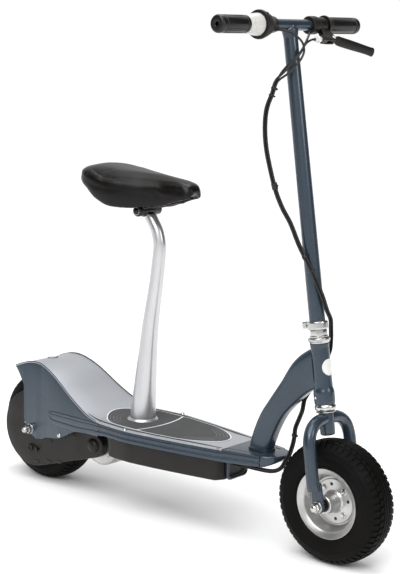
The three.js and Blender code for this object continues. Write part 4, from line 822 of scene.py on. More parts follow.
@dataclass(frozen=True)
class Studio:
    """The camera, the floor and the lights."""

    place: tuple[float, float, float] = (2029.613, -2319.643, 1055.068)
    yaw: float = 2.279291
    pitch: float = 0.177724
    roll: float = 0.020064
    focal_pixels: float = 1483.896
    long_side: float = 574.0
    sensor: float = 36.0
    sky_light: float = 0.5
    gloss_low: float = 0.06
    gloss_high: float = 0.78
    panels: float = 2.0
    panel_turn: float = 2.86
    floor_width: float = 60000.0

    LAMPS = (
        ("sun_lamp", "SUN", (0.3, -1.2, 2.6), 1.0, 2.3),
        ("key_lamp", "AREA", (1.5, -2.7, 2.3), 1.2, 22.0),
        ("side_lamp", "AREA", (2.8, 0.3, 1.7), 1.0, 12.0),
        ("top_lamp", "AREA", (-0.3, 0.7, 2.9), 1.6, 24.0),
    )

    def build(self) -> None:
        """Sets up the whole stage."""
        bpy.context.scene.view_settings.view_transform = "Standard"
        self._camera()
        self._floor()
        self._lights()

    def _camera(self) -> None:
        """Places the camera where the photograph was taken from."""
        ahead = Vector((
            math.cos(self.pitch) * math.cos(self.yaw), math.cos(self.pitch) * math.sin(self.yaw),
            -math.sin(self.pitch),
        ))
        level = ahead.cross(Vector((0, 0, 1))).normalized()
        up = level.cross(ahead)
        cosine, sine = math.cos(self.roll), math.sin(self.roll)
        right = level * cosine + up * sine
        above = up * cosine - level * sine
        data = bpy.data.cameras.new("photo_camera")
        data.sensor_width = self.sensor
        data.lens = self.focal_pixels / self.long_side * self.sensor
        data.clip_start, data.clip_end = 0.05, 200.0
        camera = bpy.data.objects.new("photo_camera", data)
        bpy.context.scene.collection.objects.link(camera)
        turn = Matrix((right, above, -ahead)).transposed().to_4x4()
        camera.matrix_world = Matrix.Translation(Vector(self.place) * MM) @ turn
        bpy.context.scene.camera = camera

    def _floor(self) -> None:
        """Lays a plain pale floor that runs on past the picture's edges."""
        form = Form()
        form.patch(lambda u, v: Vector((u - 0.5, v - 0.5, 0)) * self.floor_width, 2, 2)
        pale = Finish("pale_floor", "", "fcfcfc", "fafafa", 0.9, rough_spread=0.02, grain_scale=30,
                      grain_height=0.01, specular=0.1, mottle_scale=0.4)
        form.done("studio_floor", None, [pale])

    def _lights(self) -> None:
        """Makes a pale sky whose reflections come in soft upright panels, and hangs the lamps."""
        world = bpy.data.worlds.new("studio_sky")
        bpy.context.scene.world = world
        world.use_nodes = True
        nodes = Nodes(world.node_tree)
        paths = nodes.add("ShaderNodeLightPath").outputs
        plain = nodes.span(paths["Is Camera Ray"], 0.0, 1.0, self.sky_light, 1.0)
        sight = nodes.add("ShaderNodeTexCoord").outputs["Generated"]
        heading = nodes.add("ShaderNodeSeparateXYZ", {"Vector": sight})
        turn = nodes.math("ARCTAN2", heading.outputs["Y"], heading.outputs["X"])
        phase = nodes.math("ADD", nodes.math("MULTIPLY", turn, self.panels), self.panel_turn)
        wave = nodes.math("SINE", phase)
        panels = nodes.span(wave, -0.8, 0.1, self.gloss_low, self.gloss_high)
        change = nodes.math("MULTIPLY", paths["Is Glossy Ray"], nodes.math("SUBTRACT", panels, plain))
        light = nodes.math("ADD", plain, change)
        sky = nodes.add("ShaderNodeBackground", {"Color": (1, 1, 1, 1), "Strength": light})
        nodes.add("ShaderNodeOutputWorld", {"Surface": sky.outputs[0]})
        for lamp in self.LAMPS:
            self._lamp(*lamp)

    @staticmethod
    def _lamp(name: str, kind: str, place: Sequence[float], size: float, power: float) -> None:
        """Hangs one lamp that looks at the scooter's middle.

        Args:
            name: The lamp's name.
            kind: Blender's kind of lamp.
            place: Where it hangs, in metres.
            size: Its width in metres, or the sun's angle in radians.
            power: Its strength.
        """
        data = bpy.data.lights.new(name, kind)
        data.energy = power
        if kind == "AREA":
            data.shape, data.size = "DISK", size
        else:
            data.angle = size
        lamp = bpy.data.objects.new(name, data)
        bpy.context.scene.collection.objects.link(lamp)
        lamp.location = place
        sight = Vector((0, 0, 0.4)) - Vector(place)
        lamp.rotation_euler = sight.to_track_quat("-Z", "Y").to_euler()


# Cables


@dataclass(frozen=True)
class Cables:
    """The three cables, which leave the controls by themselves and run down the column together."""

    radius: float = 2.2
    spacing: float = 2.5

    BUNDLE = (
        (260, -42, 943), (257, -50, 920), (251, -58, 892), (249, -60, 859), (251, -58, 820),
        (256, -52, 782), (265, -42, 733), (277, -34, 698), (294, -28, 668), (314, -24, 626),
        (341, -22, 585), (352, -15, 558), (361, -7, 531), (365, 4, 503), (363, 20, 484), (359, 28, 466),
        (358, 31, 438), (354, 32, 413), (331, 30, 368), (316, 27, 333), (304, 25, 312), (302, 23, 300),
        (303, 18, 286), (302, 9, 270), (299, 2, 252), (297.5, 0, 227), (291.5, -4, 199),
        (282.7, -6, 182), (273, -7, 166.5), (258, -8, 157.5), (241, -9, 154), (205, -9.5, 152.5),
    )
    THROTTLE_START = (
        (266, -51.6, 1040.5), (266.6, -46, 1040.3), (272, -38, 1039), (284, -26, 1034),
        (295, -10, 1019), (298, -6, 1000), (294, -16, 980), (282, -34, 958),
    )
    SWITCH_START = (
        (266.5, 59.5, 1040.5), (267, 54, 1040.2), (271, 46, 1037), (277, 36, 1031), (283, 22, 1022),
        (288, 6, 1010), (291, -8, 997), (285, -23, 979), (273, -37, 959),
    )
    BRAKE_START = (
        (283.4, 47.7, 1023.1), (282, 38, 1022), (281, 24, 1016), (283, 10, 1006), (285, -7, 993),
        (275, -24, 975), (264, -33, 957),
    )
    THROTTLE_END = ((180, -9.5, 148), (150.6, -9.5, 148))
    SWITCH_END = ((180, -12, 152.5), (150.6, -12, 152.5))
    BRAKE_END = (
        (196, 6, 154), (182, 30, 158), (168, 50, 161), (140, 60.5, 161.2), (100, 69, 161.2),
        (50, 78, 161.2), (0, 86, 161.2), (-60, 90, 161.2), (-120, 89, 161), (-146, 86.6, 158.8),
        (-168, 81.5, 157.5), (-200, 74, 158), (-250, 66, 168), (-300, 58.5, 181), (-325, 56, 184.5),
    )

    def build(self) -> None:
        """Builds the three strands and the bands round them."""
        highest = self.spacing * math.sqrt(3)
        self._strand("throttle_cable", self.THROTTLE_START, 0, highest, self.THROTTLE_END)
        self._strand("switch_cable", self.SWITCH_START, -self.spacing, 0, self.SWITCH_END)
        self._strand("brake_cable", self.BRAKE_START, self.spacing, 0, self.BRAKE_END)
        self._ties("cable_ties_bar", ((0.6, 4.2), (1.15, 3.4), (5.85, 13.0)), "steering")
        self._ties("cable_ties_stem", ((9.5, 6.0), (10.2, 4.0)), None)
        self._ties("cable_tie_neck", ((18.1, 5.0), (24.6, 5.0)), "frame")

    @staticmethod
    def _bend(piece: bpy.types.Object) -> None:
        """Bakes the placement of a piece on the cables' free run into its mesh."""
        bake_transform(piece)

    def _ties(self, name: str, ties: Sequence[tuple[float, float]], body: str | None) -> None:
        """Wraps short bands round the bundle.

        Args:
            name: The piece's name.
            ties: Each band's place, as a number of the bundle's points, and its width.
            body: The body that they ride on, or None for bands on the cables' free run.
        """
        form = Form()
        places = self._beside(0, self.spacing / math.sqrt(3))
        for at, width in ties:
            i = int(at)
            centre = places[i].lerp(places[i + 1], at - i)
            heading = (places[i + 1] - places[i]).normalized()
            frame = frame_at(centre, heading.cross(Vector((0, 1, 0))), heading)
            half = width / 2
            form.turned(rounded([
                (5.0, -half), (5.9, -half, 0.3), (6.1, -half + 0.6, 0.3), (6.1, half - 0.6, 0.3),
                (5.9, half, 0.3), (5.0, half),
            ]), frame, 24, closed=True)
            form.block((5.4, -1.8, -1.6), (8.2, 1.8, 1.6), frame, bevel=0.5, segments=2)
        piece = form.done(name, body, [SHEATH])
        if body is None:
            self._bend(piece)

    def _beside(self, side: float, out: float) -> list[Vector]:
        """Moves the bundle's places sideways and out from its bends."""
        places = [Vector(place) for place in self.BUNDLE]
        moved = []
        for i, place in enumerate(places):
            heading = (places[min(len(places) - 1, i + 1)] - places[max(0, i - 1)]).normalized()
            outward = Vector((-heading.z, 0, heading.x)).normalized()
            moved.append(place + outward * out + outward.cross(heading) * side)
        return moved

    def _strand(self, name: str, start: Sequence, side: float, out: float, end: Sequence) -> None:
        """Builds one strand along its whole route.

        Args:
            name: The drawn cable that it stands for.
            start: Its own points from the control to the bundle.
            side: How far it lies to the side in the bundle.
            out: How far it lies out from the bundle's bends.
            end: Its own points from the bundle to its end.
        """
        form = Form()
        form.tube(Route([*start, *self._beside(side, out), *end], 5), self.radius, 12)
        self._bend(form.done(f"{name}_smooth", None, [SHEATH], [name]))


# Wheels


@dataclass(frozen=True)
class Wheel:
    """One wheel: a pressed rim on a hub, and a block-tread tyre."""

    prefix: str
    body: str
    centre_x: float
    nose_end: float
    blocks: int = 54
    block_depth: float = 3.4
    flange_radius: float = 33.5

    SKIN_Y = (0, 8, 16, 24, 30, 35, 38.4)
    SKIN_R = (125, 124.7, 123.6, 121.2, 117.6, 111.5, 105)

    @property
    def frame(self) -> Matrix:
        """The wheel's frame, with heights as y values."""
        return across_y(self.centre_x, AXLE_Z)

    def build(self) -> None:
        """Builds the rim and the tyre."""
        self._rim()
        self._tyre()

    def _skin(self, y: float, lift: float, turn: float) -> Vector:
        """A point of the tread, lifted off its surface."""
        radius = smooth_value(self.SKIN_Y, self.SKIN_R, abs(y)) + lift
        return self.frame @ Vector((radius * math.cos(turn), radius * math.sin(turn), y))

    def _block(
        self, form: Form, turn: float, width: float, low: float, high: float, skew: float
    ) -> None:
        """Adds one tread block.

        Args:
            form: The tyre in progress.
            turn: The block's angle round the wheel.
            width: The angle that it takes up.
            low: The distance from the middle where it begins.
            high: The distance from the middle where it ends.
            skew: The angle that it leans by over its length.
        """

        def top(u: float, v: float) -> Vector:
            """The block's top at two shares."""
            y = low + (high - low) * v
            return self._skin(y, 0.0, turn + width * (u - 0.5) + skew * v)

        faces = form.patch(top, 2, 3)
        raised = bmesh.ops.extrude_face_region(form.mesh, geom=faces, use_keep_orig=True)["geom"]
        centre = self.frame.translation
        for vert in [item for item in raised if isinstance(item, bmesh.types.BMVert)]:
            inward = Vector((vert.co.x - centre.x, 0, vert.co.z - centre.z)).normalized()
            vert.co -= inward * self.block_depth

    def _tyre(self) -> None:
        """Builds the carcass with its side ribs and the rows of tread blocks."""
        half = [
            (122.2, 0), (122.0, 8), (120.9, 16), (118.4, 24), (115, 30), (111.6, 34.8), (106, 37.8),
            (100.4, 39.3), (99.6, 40.0), (98.4, 40.0), (97.6, 39.6), (92, 40), (86, 39.2), (80, 36.8),
            (77.4, 35.6), (76.6, 36.0), (75.4, 35.6), (74.6, 34.6), (72.4, 32.4), (71.4, 30.2),
            (66, 28.6), (62, 27.4), (62, 21),
        ]
        other = [(r, -y) for r, y in reversed(half[1:])]
        inner = [(66, 18), (100, 30), (116, 12), (116, -12), (100, -30), (66, -18)]
        form = Form()
        form.turned([*other, *half, *inner], self.frame, 120, closed=True)
        middle = [(124.9, -2.6), (125, 0), (124.9, 2.6), (121, 3.4), (121, -3.4)]
        form.turned(middle, self.frame, 120, closed=True)
        pitch = math.tau / self.blocks
        for side in (-1, 1):
            rib = [(124.8, 5.2), (124.7, 9.8), (120.8, 10.6), (121.2, 4.4)]
            form.turned([(r, side * y) for r, y in rib], self.frame, 120, closed=True)
        for k in range(self.blocks):
            for side in (-1, 1):
                turn = k * pitch + (pitch / 2 if side > 0 else 0)
                self._block(form, turn, pitch * 0.72, side * 12.2, side * 20.6, pitch * 0.3)
                reach = 36.4 if k % 2 else 33.4
                self._block(form, turn + pitch * 0.5, pitch * 0.62, side * 22.4, side * reach, pitch * 0.1)
        form.done(f"{self.prefix}_tyre_tread", self.body, [TYRE], [f"{self.prefix}_tyre"], sharp=32)

    def _rim(self) -> None:
        """Builds the dished rim, its hub, the bolts of its flange, dark discs of painted shade where the
        flange's holes are, and the bearing seals.
        """
        form = Form()
        half = [
            (19, 2.5), (50, 2.5, 2), (52.5, 10, 2), (58.4, 26.5, 3), (68.2, 32.2, 2), (71, 33, 0.6),
            (71, 30.5, 0.6), (61, 27.6, 2), (55, 10, 3),
        ]
        outer = rounded(half)
        other = [Vector((p.x, -p.y)) for p in reversed(outer)]
        form.turned([*outer, *other], self.frame, 96, closed=True)
        flange = [(18, -6), (45, -6, 1.2), (46, -5, 0.8), (46, 0, 0.5), (18, 0)]
        form.turned(rounded(flange), self.frame, 96)
        end = self.nose_end
        barrel = rounded([
            (9, -41), (17, -42, 1), (19, -40, 1), (19, -9, 2), (24, -6, 2), (24, 4, 2), (19, 7, 2),
            (19, 40, 1), (17, 42, 1), (9, 41),
        ])
        form.turned(barrel, self.frame, 64)
        for x, z in circle(4, self.flange_radius, math.pi / 4):
            for level, facing in ((-6.0, -1), (2.5, 1)):
                seat = outward(self.centre_x + x, level, AXLE_Z + z, facing)
                form.finish_index = 1
                form.turned([(6.6, 0), (6.6, 0.9), (6.2, 1.2), (4, 1.2)], seat, 20)
                form.bolt(seat @ Matrix.Translation((0, 0, 1.1)), 4.6, 3.6)
        # Dark discs on the flange's face stand for its holes: painted shade, not openings.
        form.finish_index = 2
        for x, z in circle(4, self.flange_radius + 1.5, 0.18):
            seat = outward(self.centre_x + x, -6.05, AXLE_Z + z, -1)
            form.turned([(3.6, 0), (3.3, 0.12), (2.7, 0.05), (0, 0.03)], seat, 20)
        for side in (-1, 1):
            form.turned(rounded([
                (5.3, side * end), (8.4, side * end, 0.6), (9, side * (end - 1), 0.6), (9, side * 41.6),
                (16.2, side * 41.6), (16.2, side * 41.0),
            ]), self.frame, 48)
        name = f"{self.prefix}_rim"
        form.done(f"{name}_smooth", self.body, [ALLOY, BRIGHT, SEAL_AND_HOLE_SHADE], [name])


@dataclass(frozen=True)
class Axles:
    """The axles and their domed nuts."""

    washer_radius: float = 11.5
    nut_radius: float = 10.5
    nut_height: float = 9.0
    front_half: float = 59.3
    front_dome: float = 7.0
    rear_half: float = 66.3
    rear_dome: float = 13.0

    def build(self) -> None:
        """Builds the front axle, the rear axle and the rear axle's nut."""
        front = self._end(self.front_half, self.front_dome, FRONT_X, 1)
        self._end(self.front_half, self.front_dome, FRONT_X, -1, front)
        self._rod(front, FRONT_X, self.front_half - 1.3)
        front.done("front_axle_smooth", "steering", [BRIGHT], ["front_axle"])
        rear = self._end(self.rear_half, self.rear_dome, REAR_X, 1)
        self._rod(rear, REAR_X, self.rear_half - FIT)
        rear.done("rear_axle_smooth", "frame", [BRIGHT], ["rear_axle"])
        nut = self._end(self.rear_half, self.rear_dome, REAR_X, -1)
        nut.done("rear_axle_nut_smooth", "frame", [BRIGHT], ["rear_axle_nut"])

    @staticmethod
    def _rod(form: Form, x: float, half: float) -> None:
        """Adds the axle's rod between its nuts."""
        form.turned([(0, -half), (5, -half), (5, half), (0, half)], across_y(x, AXLE_Z), 24)

    def _end(self, seat: float, dome: float, x: float, side: int, form: Form | None = None) -> Form:
        """Adds a washer, a hexagon nut and its dome on one side.

        Args:
            seat: The washer's distance from the middle.
            dome: The dome's height.
            x: The axle's place along the scooter.
            side: 1 for the left side, -1 for the right.
            form: The mesh that it is added to, or None for a new one.

        Returns:
            The mesh.
        """
        form = form or Form()
        frame = outward(x, side * seat, AXLE_Z, side)
        outer = self.washer_radius
        form.turned(rounded([(6, 0), (outer, 0, 0.4), (outer, 2, 0.5), (6, 2)]), frame, 40)
        form.turned(rounded([(6, 2), (10.6, 2, 0.4), (10.6, 3.2, 0.4), (6, 3.2)]), frame, 40)
        nut = frame @ Matrix.Translation((0, 0, 3.2))
        form.bolt(nut, self.nut_radius, self.nut_height - 1.2, dome)
        return form


# Fork, head tube and stem


@dataclass(frozen=True)
class Column:
    """The fork, the headset and the stem, in the steering frame."""

    leg_radius: float = 12.7
    leg_foot: float = 34.0
    track: float = 67.0
    crown_top: float = 178.0
    head_bottom: float = 194.5
    head_top: float = 315.5
    head_waist: float = 18.5
    stud_turn: float = -0.32
    badge_radius: float = 16.5
    badge_up: float = 267.6
    stem_bottom: float = 342.9

    def build(self) -> None:
        """Builds the column from the fork up."""
        self._legs()
        self._steerer()
        self._head()
        self._stem()

    def _legs(self) -> None:
        """Builds the two bent legs with their end plates."""
        tracks = (0.15, 0.45, 0.72, 0.9, 0.985, 1, 1, 1)
        heights = (1, 0.99, 0.93, 0.83, 0.7, 0.56, 0.2, 0)
        bows = (0, 0.3, 0.35, 0.7, 0.85, 1, 1, 1)
        top = self.crown_top - self.leg_radius - FIT
        frame = STEERING.frame
        for side, name in ((1, "fork_leg_left"), (-1, "fork_leg_right")):
            points = [
                frame @ Vector((b * 3, side * t * self.track, self.leg_foot + h * (top - self.leg_foot)))
                for t, h, b in zip(tracks, heights, bows)
            ]
            form = Form()

            def size(share: float) -> tuple[float, float]:
                """The leg's half widths, flattened at its foot."""
                nip = smooth_value((0, 0.94, 1), (1, 1, 0.74), share)
                return self.leg_radius, self.leg_radius * nip

            form.swept(Route(points, 8), size, 32)
            outline = self._end_plate()
            plane = frame @ outward(0, side * 54, 0, side)
            flat = [(x, -z * side) for x, z in outline]
            form.plate(flat, 0, 5, plane, bevel=1.1)
            weld = frame @ upright(3, side * 62.5, 43) @ Matrix.Diagonal((0.98, 0.86, 1, 1))
            bead = rounded([(0, -9), (13.4, -9, 3), (14, -1, 3), (12.8, 3, 2), (8, 5)])
            form.turned(bead, weld, 32)
            form.done(f"{name}_smooth", "steering", [PAINT], [name])

    @staticmethod
    def _end_plate() -> list[tuple[float, float]]:
        """The outline round the axle hole's lug and the leg's end."""
        points = []
        for k in range(25):
            turn = math.pi + math.pi * k / 24
            points.append((3 + 13 * math.cos(turn), 13 * math.sin(turn)))
        for k in range(13):
            turn = math.pi * k / 12
            points.append((3 + 12.4 * math.cos(turn), 42 + 10 * math.sin(turn)))
        return points

    @staticmethod
    def _steerer() -> None:
        """Builds the stub below the crown, a dark disc of painted shade across its open end, the race and
        the hidden steerer.
        """
        form = Form()
        frame = STEERING.frame
        form.turned(rounded([(13.2, 134.6), (15, 135, 0.5), (15, 178.2, 1), (12.7, 180)]), frame, 48)
        form.turned([(12.7, 180), (12.7, 400), (10.2, 400), (10.2, 340)], frame, 32)
        # The dark disc closes the stub's open end, where only shade would show: painted shade.
        form.finish_index = 1
        open_end_shade = [(0, 131.5), (12, 132, 1.5), (14.6, 134, 1), (14.6, 136.5), (13, 137)]
        form.turned(rounded(open_end_shade), frame, 40)
        form.finish_index = 2
        race = [(14.8, 177.6), (19.4, 178, 0.6), (20, 179.6, 0.8), (17, 180.6), (13, 180.6)]
        form.turned(rounded(race), frame, 48)
        form.done("fork_steerer_smooth", "steering", [PAINT, SEAL_AND_HOLE_SHADE, BRIGHT], ["fork_steerer"])

    def _head(self) -> None:
        """Builds the head tube with its stud and bare badge, its cups and the locknut."""
        frame = STEERING.frame
        tube = Form()
        low, high, waist = self.head_bottom, self.head_top, self.head_waist
        tube.turned(rounded([
            (15.5, low), (20.4, low, 0.8), (21, 198, 2), (21.4, 209, 8), (21, 220, 3), (18.9, 226, 4),
            (waist, 240, 6), (waist, 308, 3), (19.6, 313.5, 1.5), (19.4, high, 0.8), (15.5, high),
        ]), frame, 64)
        tube.finish_index = 1
        out = Vector((math.sin(self.stud_turn), -math.cos(self.stud_turn), 0))
        stud = frame @ frame_at((21.2 * out.x, 21.2 * out.y, 208.5), (0, 0, 1), out)
        tube.screw(stud, 2.9, 1.8)
        tube.finish_index = 2

        def badge(u: float, v: float) -> Vector:
            """The bare round badge, wrapped on the tube with a raised rim."""
            reach, turn = self.badge_radius * v, u * math.tau
            out = waist + (0.9 if v < 0.84 else (1.3 if v < 0.95 else 0.1))
            bend = reach * math.cos(turn) / waist
            up = self.badge_up + reach * math.sin(turn)
            return Vector((out * math.cos(bend), out * math.sin(bend), up))

        tube.patch(badge, 48, 12, frame)
        tube.weld()
        tube.done("head_tube_smooth", "frame", [PAINT, BRIGHT, BADGE], ["head_tube"])
        lower = Form()
        lower.turned(rounded([
            (13.2, 181.2), (18, 181.2, 1), (21.2, 184, 2), (21.8, 188.5, 1.5), (21.0, 191.5, 1),
            (19, 194.2),
        ]), frame, 64)
        lower.done("headset_cup_lower_smooth", "frame", [BRIGHT], ["headset_cup_lower"])
        upper = Form()
        upper.turned(rounded([
            (15.2, 315.8), (19.6, 315.8, 0.6), (20.4, 318.4, 1), (22.5, 320.6, 1.4), (22.5, 325.4, 1.2),
            (19.6, 326.8, 1), (13.2, 326.8),
        ]), frame, 64)
        upper.done("headset_cup_upper_smooth", "frame", [BRIGHT], ["headset_cup_upper"])
        nut = Form()
        nut.plate(circle(8, 17.5, math.pi / 8), 330.6, 342.4, frame, bevel=0.9)
        nut.turned(rounded([(13, 327.1), (18.4, 327.1, 0.6), (18.4, 330.4, 0.6), (13, 330.4)]), frame, 48)
        nut.done("headset_locknut_smooth", "steering", [BRIGHT], ["headset_locknut"])

    def _stem(self) -> None:
        """Builds the stem with its bead, and the collar round its foot."""
        frame = STEERING.frame
        up = STEERING.bar_up
        stem = Form()
        stem.turned(rounded([
            (13, self.stem_bottom), (15.9, self.stem_bottom, 0.6), (15.9, 420, 20), (14.1, 880, 20),
            (14.1, up - 2),
        ], 6), frame, 64)
        bead = [(14, up - 26), (14.9, up - 20, 4), (16.6, up - 9, 3), (12.5, up - 3)]
        stem.turned(rounded(bead), frame, 48)
        stem.done("stem_smooth", "steering", [PAINT], ["stem"])
        collar = Form()
        collar.turned(rounded([
            (16.2, 343.2), (19.6, 343.2, 0.8), (20.2, 346, 1), (20.2, 356, 1), (19.6, 358.8, 0.8),
            (16.2, 358.8),
        ]), frame, 64)
        for side in (-1, 1):
            low, high = sorted((side * 0.9, side * 6))
            collar.block((-33, low, 344.2), (-17.5, high, 357.8), frame, bevel=1.2)
        across = frame @ frame_at((-26.5, -9.5, 350.9), (0, 0, 1), (0, 1, 0))
        collar.turned([(0, 0), (4.6, 0), (4.8, 0.6), (4.8, 3.5), (3, 3.5), (3, 19), (0, 19)], across, 24)
        collar.bolt(frame @ frame_at((-26.5, 6, 350.9), (0, 0, 1), (0, 1, 0)), 5, 3.6)
        collar.done("stem_collar_smooth", "steering", [BRIGHT], ["stem_collar"])


# Handlebar and controls


@dataclass(frozen=True)
class Controls:
    """The handlebar, its grips, the twist throttle, the switch collar and the brake lever."""

    bar_radius: float = 11.1
    bar_half: float = 214.0
    lever_tilt: float = math.radians(45)

    @property
    def frame(self) -> Matrix:
        """The bar's frame, with heights as y values."""
        return across_y(STEERING.bar_x, STEERING.bar_height)

    @property
    def lever_frame(self) -> Matrix:
        """The lever's frame, with X the reach ahead of the bar and Y along the bar."""
        tilt = self.lever_tilt
        origin = (STEERING.bar_x, 0, STEERING.bar_height)
        return frame_at(origin, (math.cos(tilt), 0, -math.sin(tilt)), (math.sin(tilt), 0, math.cos(tilt)))

    def build(self) -> None:
        """Builds what is on the bar from its middle out."""
        self._bar()
        self._grips()
        self._throttle()
        self._lever()

    def _bar(self) -> None:
        """Builds the bar's tube."""
        form = Form()
        half, outer = self.bar_half, self.bar_radius
        wall = [(outer - 2, -half), (outer, -half), (outer, half), (outer - 2, half)]
        form.turned(wall, self.frame, 48, True)
        form.done("handlebar_smooth", "steering", [PAINT], ["handlebar"])

    def _grips(self) -> None:
        """Builds the two grips with their ringed ends."""
        for side, name, inner, radius in ((-1, "grip_right", 136.8, 17.0), (1, "grip_left", 115.0, 16.5)):
            form = Form()
            start = [(11.4, inner), (radius, inner, 1)]
            if side > 0:
                start = [(11.4, 110), (19.2, 110, 0.8), (20, 111.5, 1), (20, 113.5, 1), (radius, 115.4, 1)]
            profile = [
                *start, (radius, inner + 6, 0.6), (radius - 0.9, inner + 7, 0.5),
                (radius - 0.9, inner + 8.2, 0.5), (radius, inner + 9.2, 0.5), (radius, 202, 0.6),
                (radius - 1.1, 203, 0.5),
                (radius - 1.1, 204.6, 0.5), (radius + 0.2, 205.6, 0.6), (radius + 0.2, 215.4, 2.2),
                (radius - 2.6, 219.2, 1.6), (6.4, 219.3, 0.8), (5.6, 217.6, 0.6), (4, 217.4), (4, 214.5),
            ]
            points = [Vector((p.x, side * p.y)) for p in rounded(profile)]
            form.turned(points, self.frame, 60)
            centre = self.frame.translation
            for k in range(10):
                turn = math.tau * k / 10
                out = Vector((math.cos(turn), 0, math.sin(turn)))
                middle = Vector((0, side * (inner + 106) / 2 + side * 53, 0))
                rib = frame_at(centre + middle + out * (radius - 0.6), (-out.z, 0, out.x), out)
                half = (199 - inner - 13) / 2
                form.block((-1.7, -half, 0), (1.7, half, 1.25), rib, bevel=0.5, segments=2)
            form.done(f"{name}_smooth", "steering", [RUBBER], [name])

    def _throttle(self) -> None:
        """Builds the milky twist sleeve, the throttle's housing and the switch collar."""
        sleeve = Form()
        sleeve.turned(rounded([
            (11.5, -136.1), (17.2, -136.1, 0.8), (17.6, -133, 1), (19.2, -122, 6), (21.3, -108, 5),
            (21.6, -99.8, 0.6), (11.5, -99.6),
        ]), self.frame, 64)
        sleeve.done("throttle_sleeve_smooth", "throttle", [SLEEVE], ["throttle_sleeve"])
        housing = Form()
        housing.turned(rounded([
            (11.5, -99.2), (23, -99.2, 0.6), (23.4, -98.2), (27.2, -98.4, 1), (28, -96, 1.2),
            (28, -92, 1.2), (26.4, -89.4, 1.4), (24.8, -82, 2), (21.6, -74, 3), (17.6, -64, 3),
            (16, -57, 2), (15.8, -53, 1), (14.6, -52, 0.6), (11.5, -52),
        ]), self.frame, 64)
        centre = self.frame.translation
        for turn in (0.9, 3.6):
            out = Vector((math.cos(turn), 0, math.sin(turn)))
            seat = frame_at(centre + Vector((0, -91, 0)) + out * 25.6, (0, 1, 0), out)
            housing.turned([(3.6, -2), (3.6, 1.9), (3.1, 2.4), (1.8, 2.4), (1.4, 1.2), (0, 1.2)], seat, 16)
        low = frame_at(centre + Vector((9.5, -54, -9.5)), (0, 0, 1), (0, 1, 0))
        housing.turned([(3.4, 0), (3.4, 2.4), (2.9, 3.2), (2.5, 3.2)], low, 20)
        housing.done("throttle_housing_smooth", "steering", [PLASTIC], ["throttle_housing"])
        collar = Form()
        collar.turned(rounded([
            (11.5, 60), (16.6, 60, 0.8), (18, 62, 1.4), (18, 70, 0.5), (17.2, 70.6, 0.4), (17.2, 71.6, 0.4),
            (18, 72.2, 0.5), (18, 80, 1.4), (16.6, 82, 0.8), (11.5, 82),
        ]), self.frame, 56)
        button = frame_at(centre + Vector((-11, 71, 11)), (0, 1, 0), (-1, 0, 1))
        collar.block((-5.5, -4, -2), (5.5, 4, 2.6), button, bevel=1)
        collar.done("switch_collar_smooth", "steering", [PLASTIC], ["switch_collar"])

    def _lever(self) -> None:
        """Builds the lever's bracket and the lever."""
        frame = self.lever_frame
        bracket = Form()
        bracket.turned(rounded([
            (11.5, 84), (15.2, 84, 0.8), (16, 86, 1), (16, 106, 1), (15.2, 108, 0.8), (11.5, 108),
        ]), self.frame, 48)
        outline = rounded([
            (6, 85), (15, 85, 2), (31, 79, 4), (32, 66, 1.5), (44, 66, 1.5), (46, 84, 5), (46, 107, 3),
            (40, 112, 3), (17, 108, 6), (6, 107),
        ], 5, closed=True)
        bracket.plate(outline, 3.5, 6.5, frame, bevel=1.2)
        bracket.plate(outline, -6.5, -3.5, frame, bevel=1.2)
        inner = rounded([(6, 85), (15, 85, 2), (31, 79, 4), (32, 66, 1.5), (44, 66, 1.5), (45, 84, 5),
                         (36, 95, 6), (24, 96, 4), (20, 106, 3), (6, 107)], 5, closed=True)
        bracket.plate(inner, -4, 4, frame)
        bracket.finish_index = 1
        along = frame @ frame_at((38, 0, 0), (1, 0, 0), (0, 1, 0))
        bracket.turned(rounded([
            (2.8, 54), (2.8, 48), (4.4, 48, 0.5), (4.6, 50, 0.4), (4.6, 55.6, 0.4), (6.6, 56.2, 0.6),
            (6.6, 61.4, 0.6), (5, 62, 0.4), (5, 66.4), (2, 66.4),
        ]), along, 32)
        pin = frame @ frame_at((38, 105, -6.9), (1, 0, 0), (0, 0, 1))
        bracket.turned([(0, 0), (3.6, 0), (3.9, 0.5), (3.9, 1), (2.5, 1), (2.5, 13), (3.9, 13), (3.9, 13.6),
                        (3.3, 14.2), (1.4, 14.2), (1.1, 13.4), (0, 13.4)], pin, 24)
        clamp = frame @ frame_at((-14.5, 96, 0), (0, 0, 1), (0, 1, 0))
        bracket.bolt(clamp @ Matrix.Translation((0, 0, -7)), 3.6, 12, 2)
        bracket.done("lever_bracket_smooth", "steering", [PLASTIC, ADJUSTER], ["lever_bracket"])
        lever = Form()
        lever.turned(rounded([(2.8, -3.2), (7, -3.2, 0.8), (7, 3.2, 0.8), (2.8, 3.2)]),
                     frame @ Matrix.Translation((38, 105, 0)), 32, True)
        shares = (0, 0.1, 0.36, 0.71, 0.93, 1)
        reach_shares = (0, 0.12, 0.36, 0.69, 0.92, 1)
        reach, length = 32.8, 93
        points = [frame @ Vector((38.6, 108, 0))]
        for share, out in zip(shares, reach_shares):
            points.append(frame @ Vector((41.2 + out * reach, 119 + share * length, 0)))
        places = (0, 0.1, 0.2, 0.45, 0.75, 0.92, 0.975, 1)
        wide = (5.4, 7.6, 9.6, 9.8, 8.8, 9.4, 7.8, 3.2)
        deep = (4.4, 5.2, 6.0, 5.4, 4.9, 5.8, 5.0, 2.2)

        def size(share: float) -> tuple[float, float]:
            """The blade's half depth and half height."""
            return smooth_value(places, deep, share), smooth_value(places, wide, share)

        lever.swept(Route(points, 10), size, 28)
        lever.done("brake_lever_smooth", "lever", [PLASTIC], ["brake_lever"])


# Deck, nose, neck and pads


@dataclass(frozen=True)
class Pad:
    """One grip pad: its two ends, and which of them is far from the gap and rounded off."""

    name: str
    low: float
    high: float
    far: float
    round_off: float
    line_reach: float

    @property
    def end(self) -> float:
        """The place of its far end."""
        return self.high if self.far else self.low

    @property
    def sense(self) -> int:
        """Which way the pad lies from its far end."""
        return -1 if self.far else 1


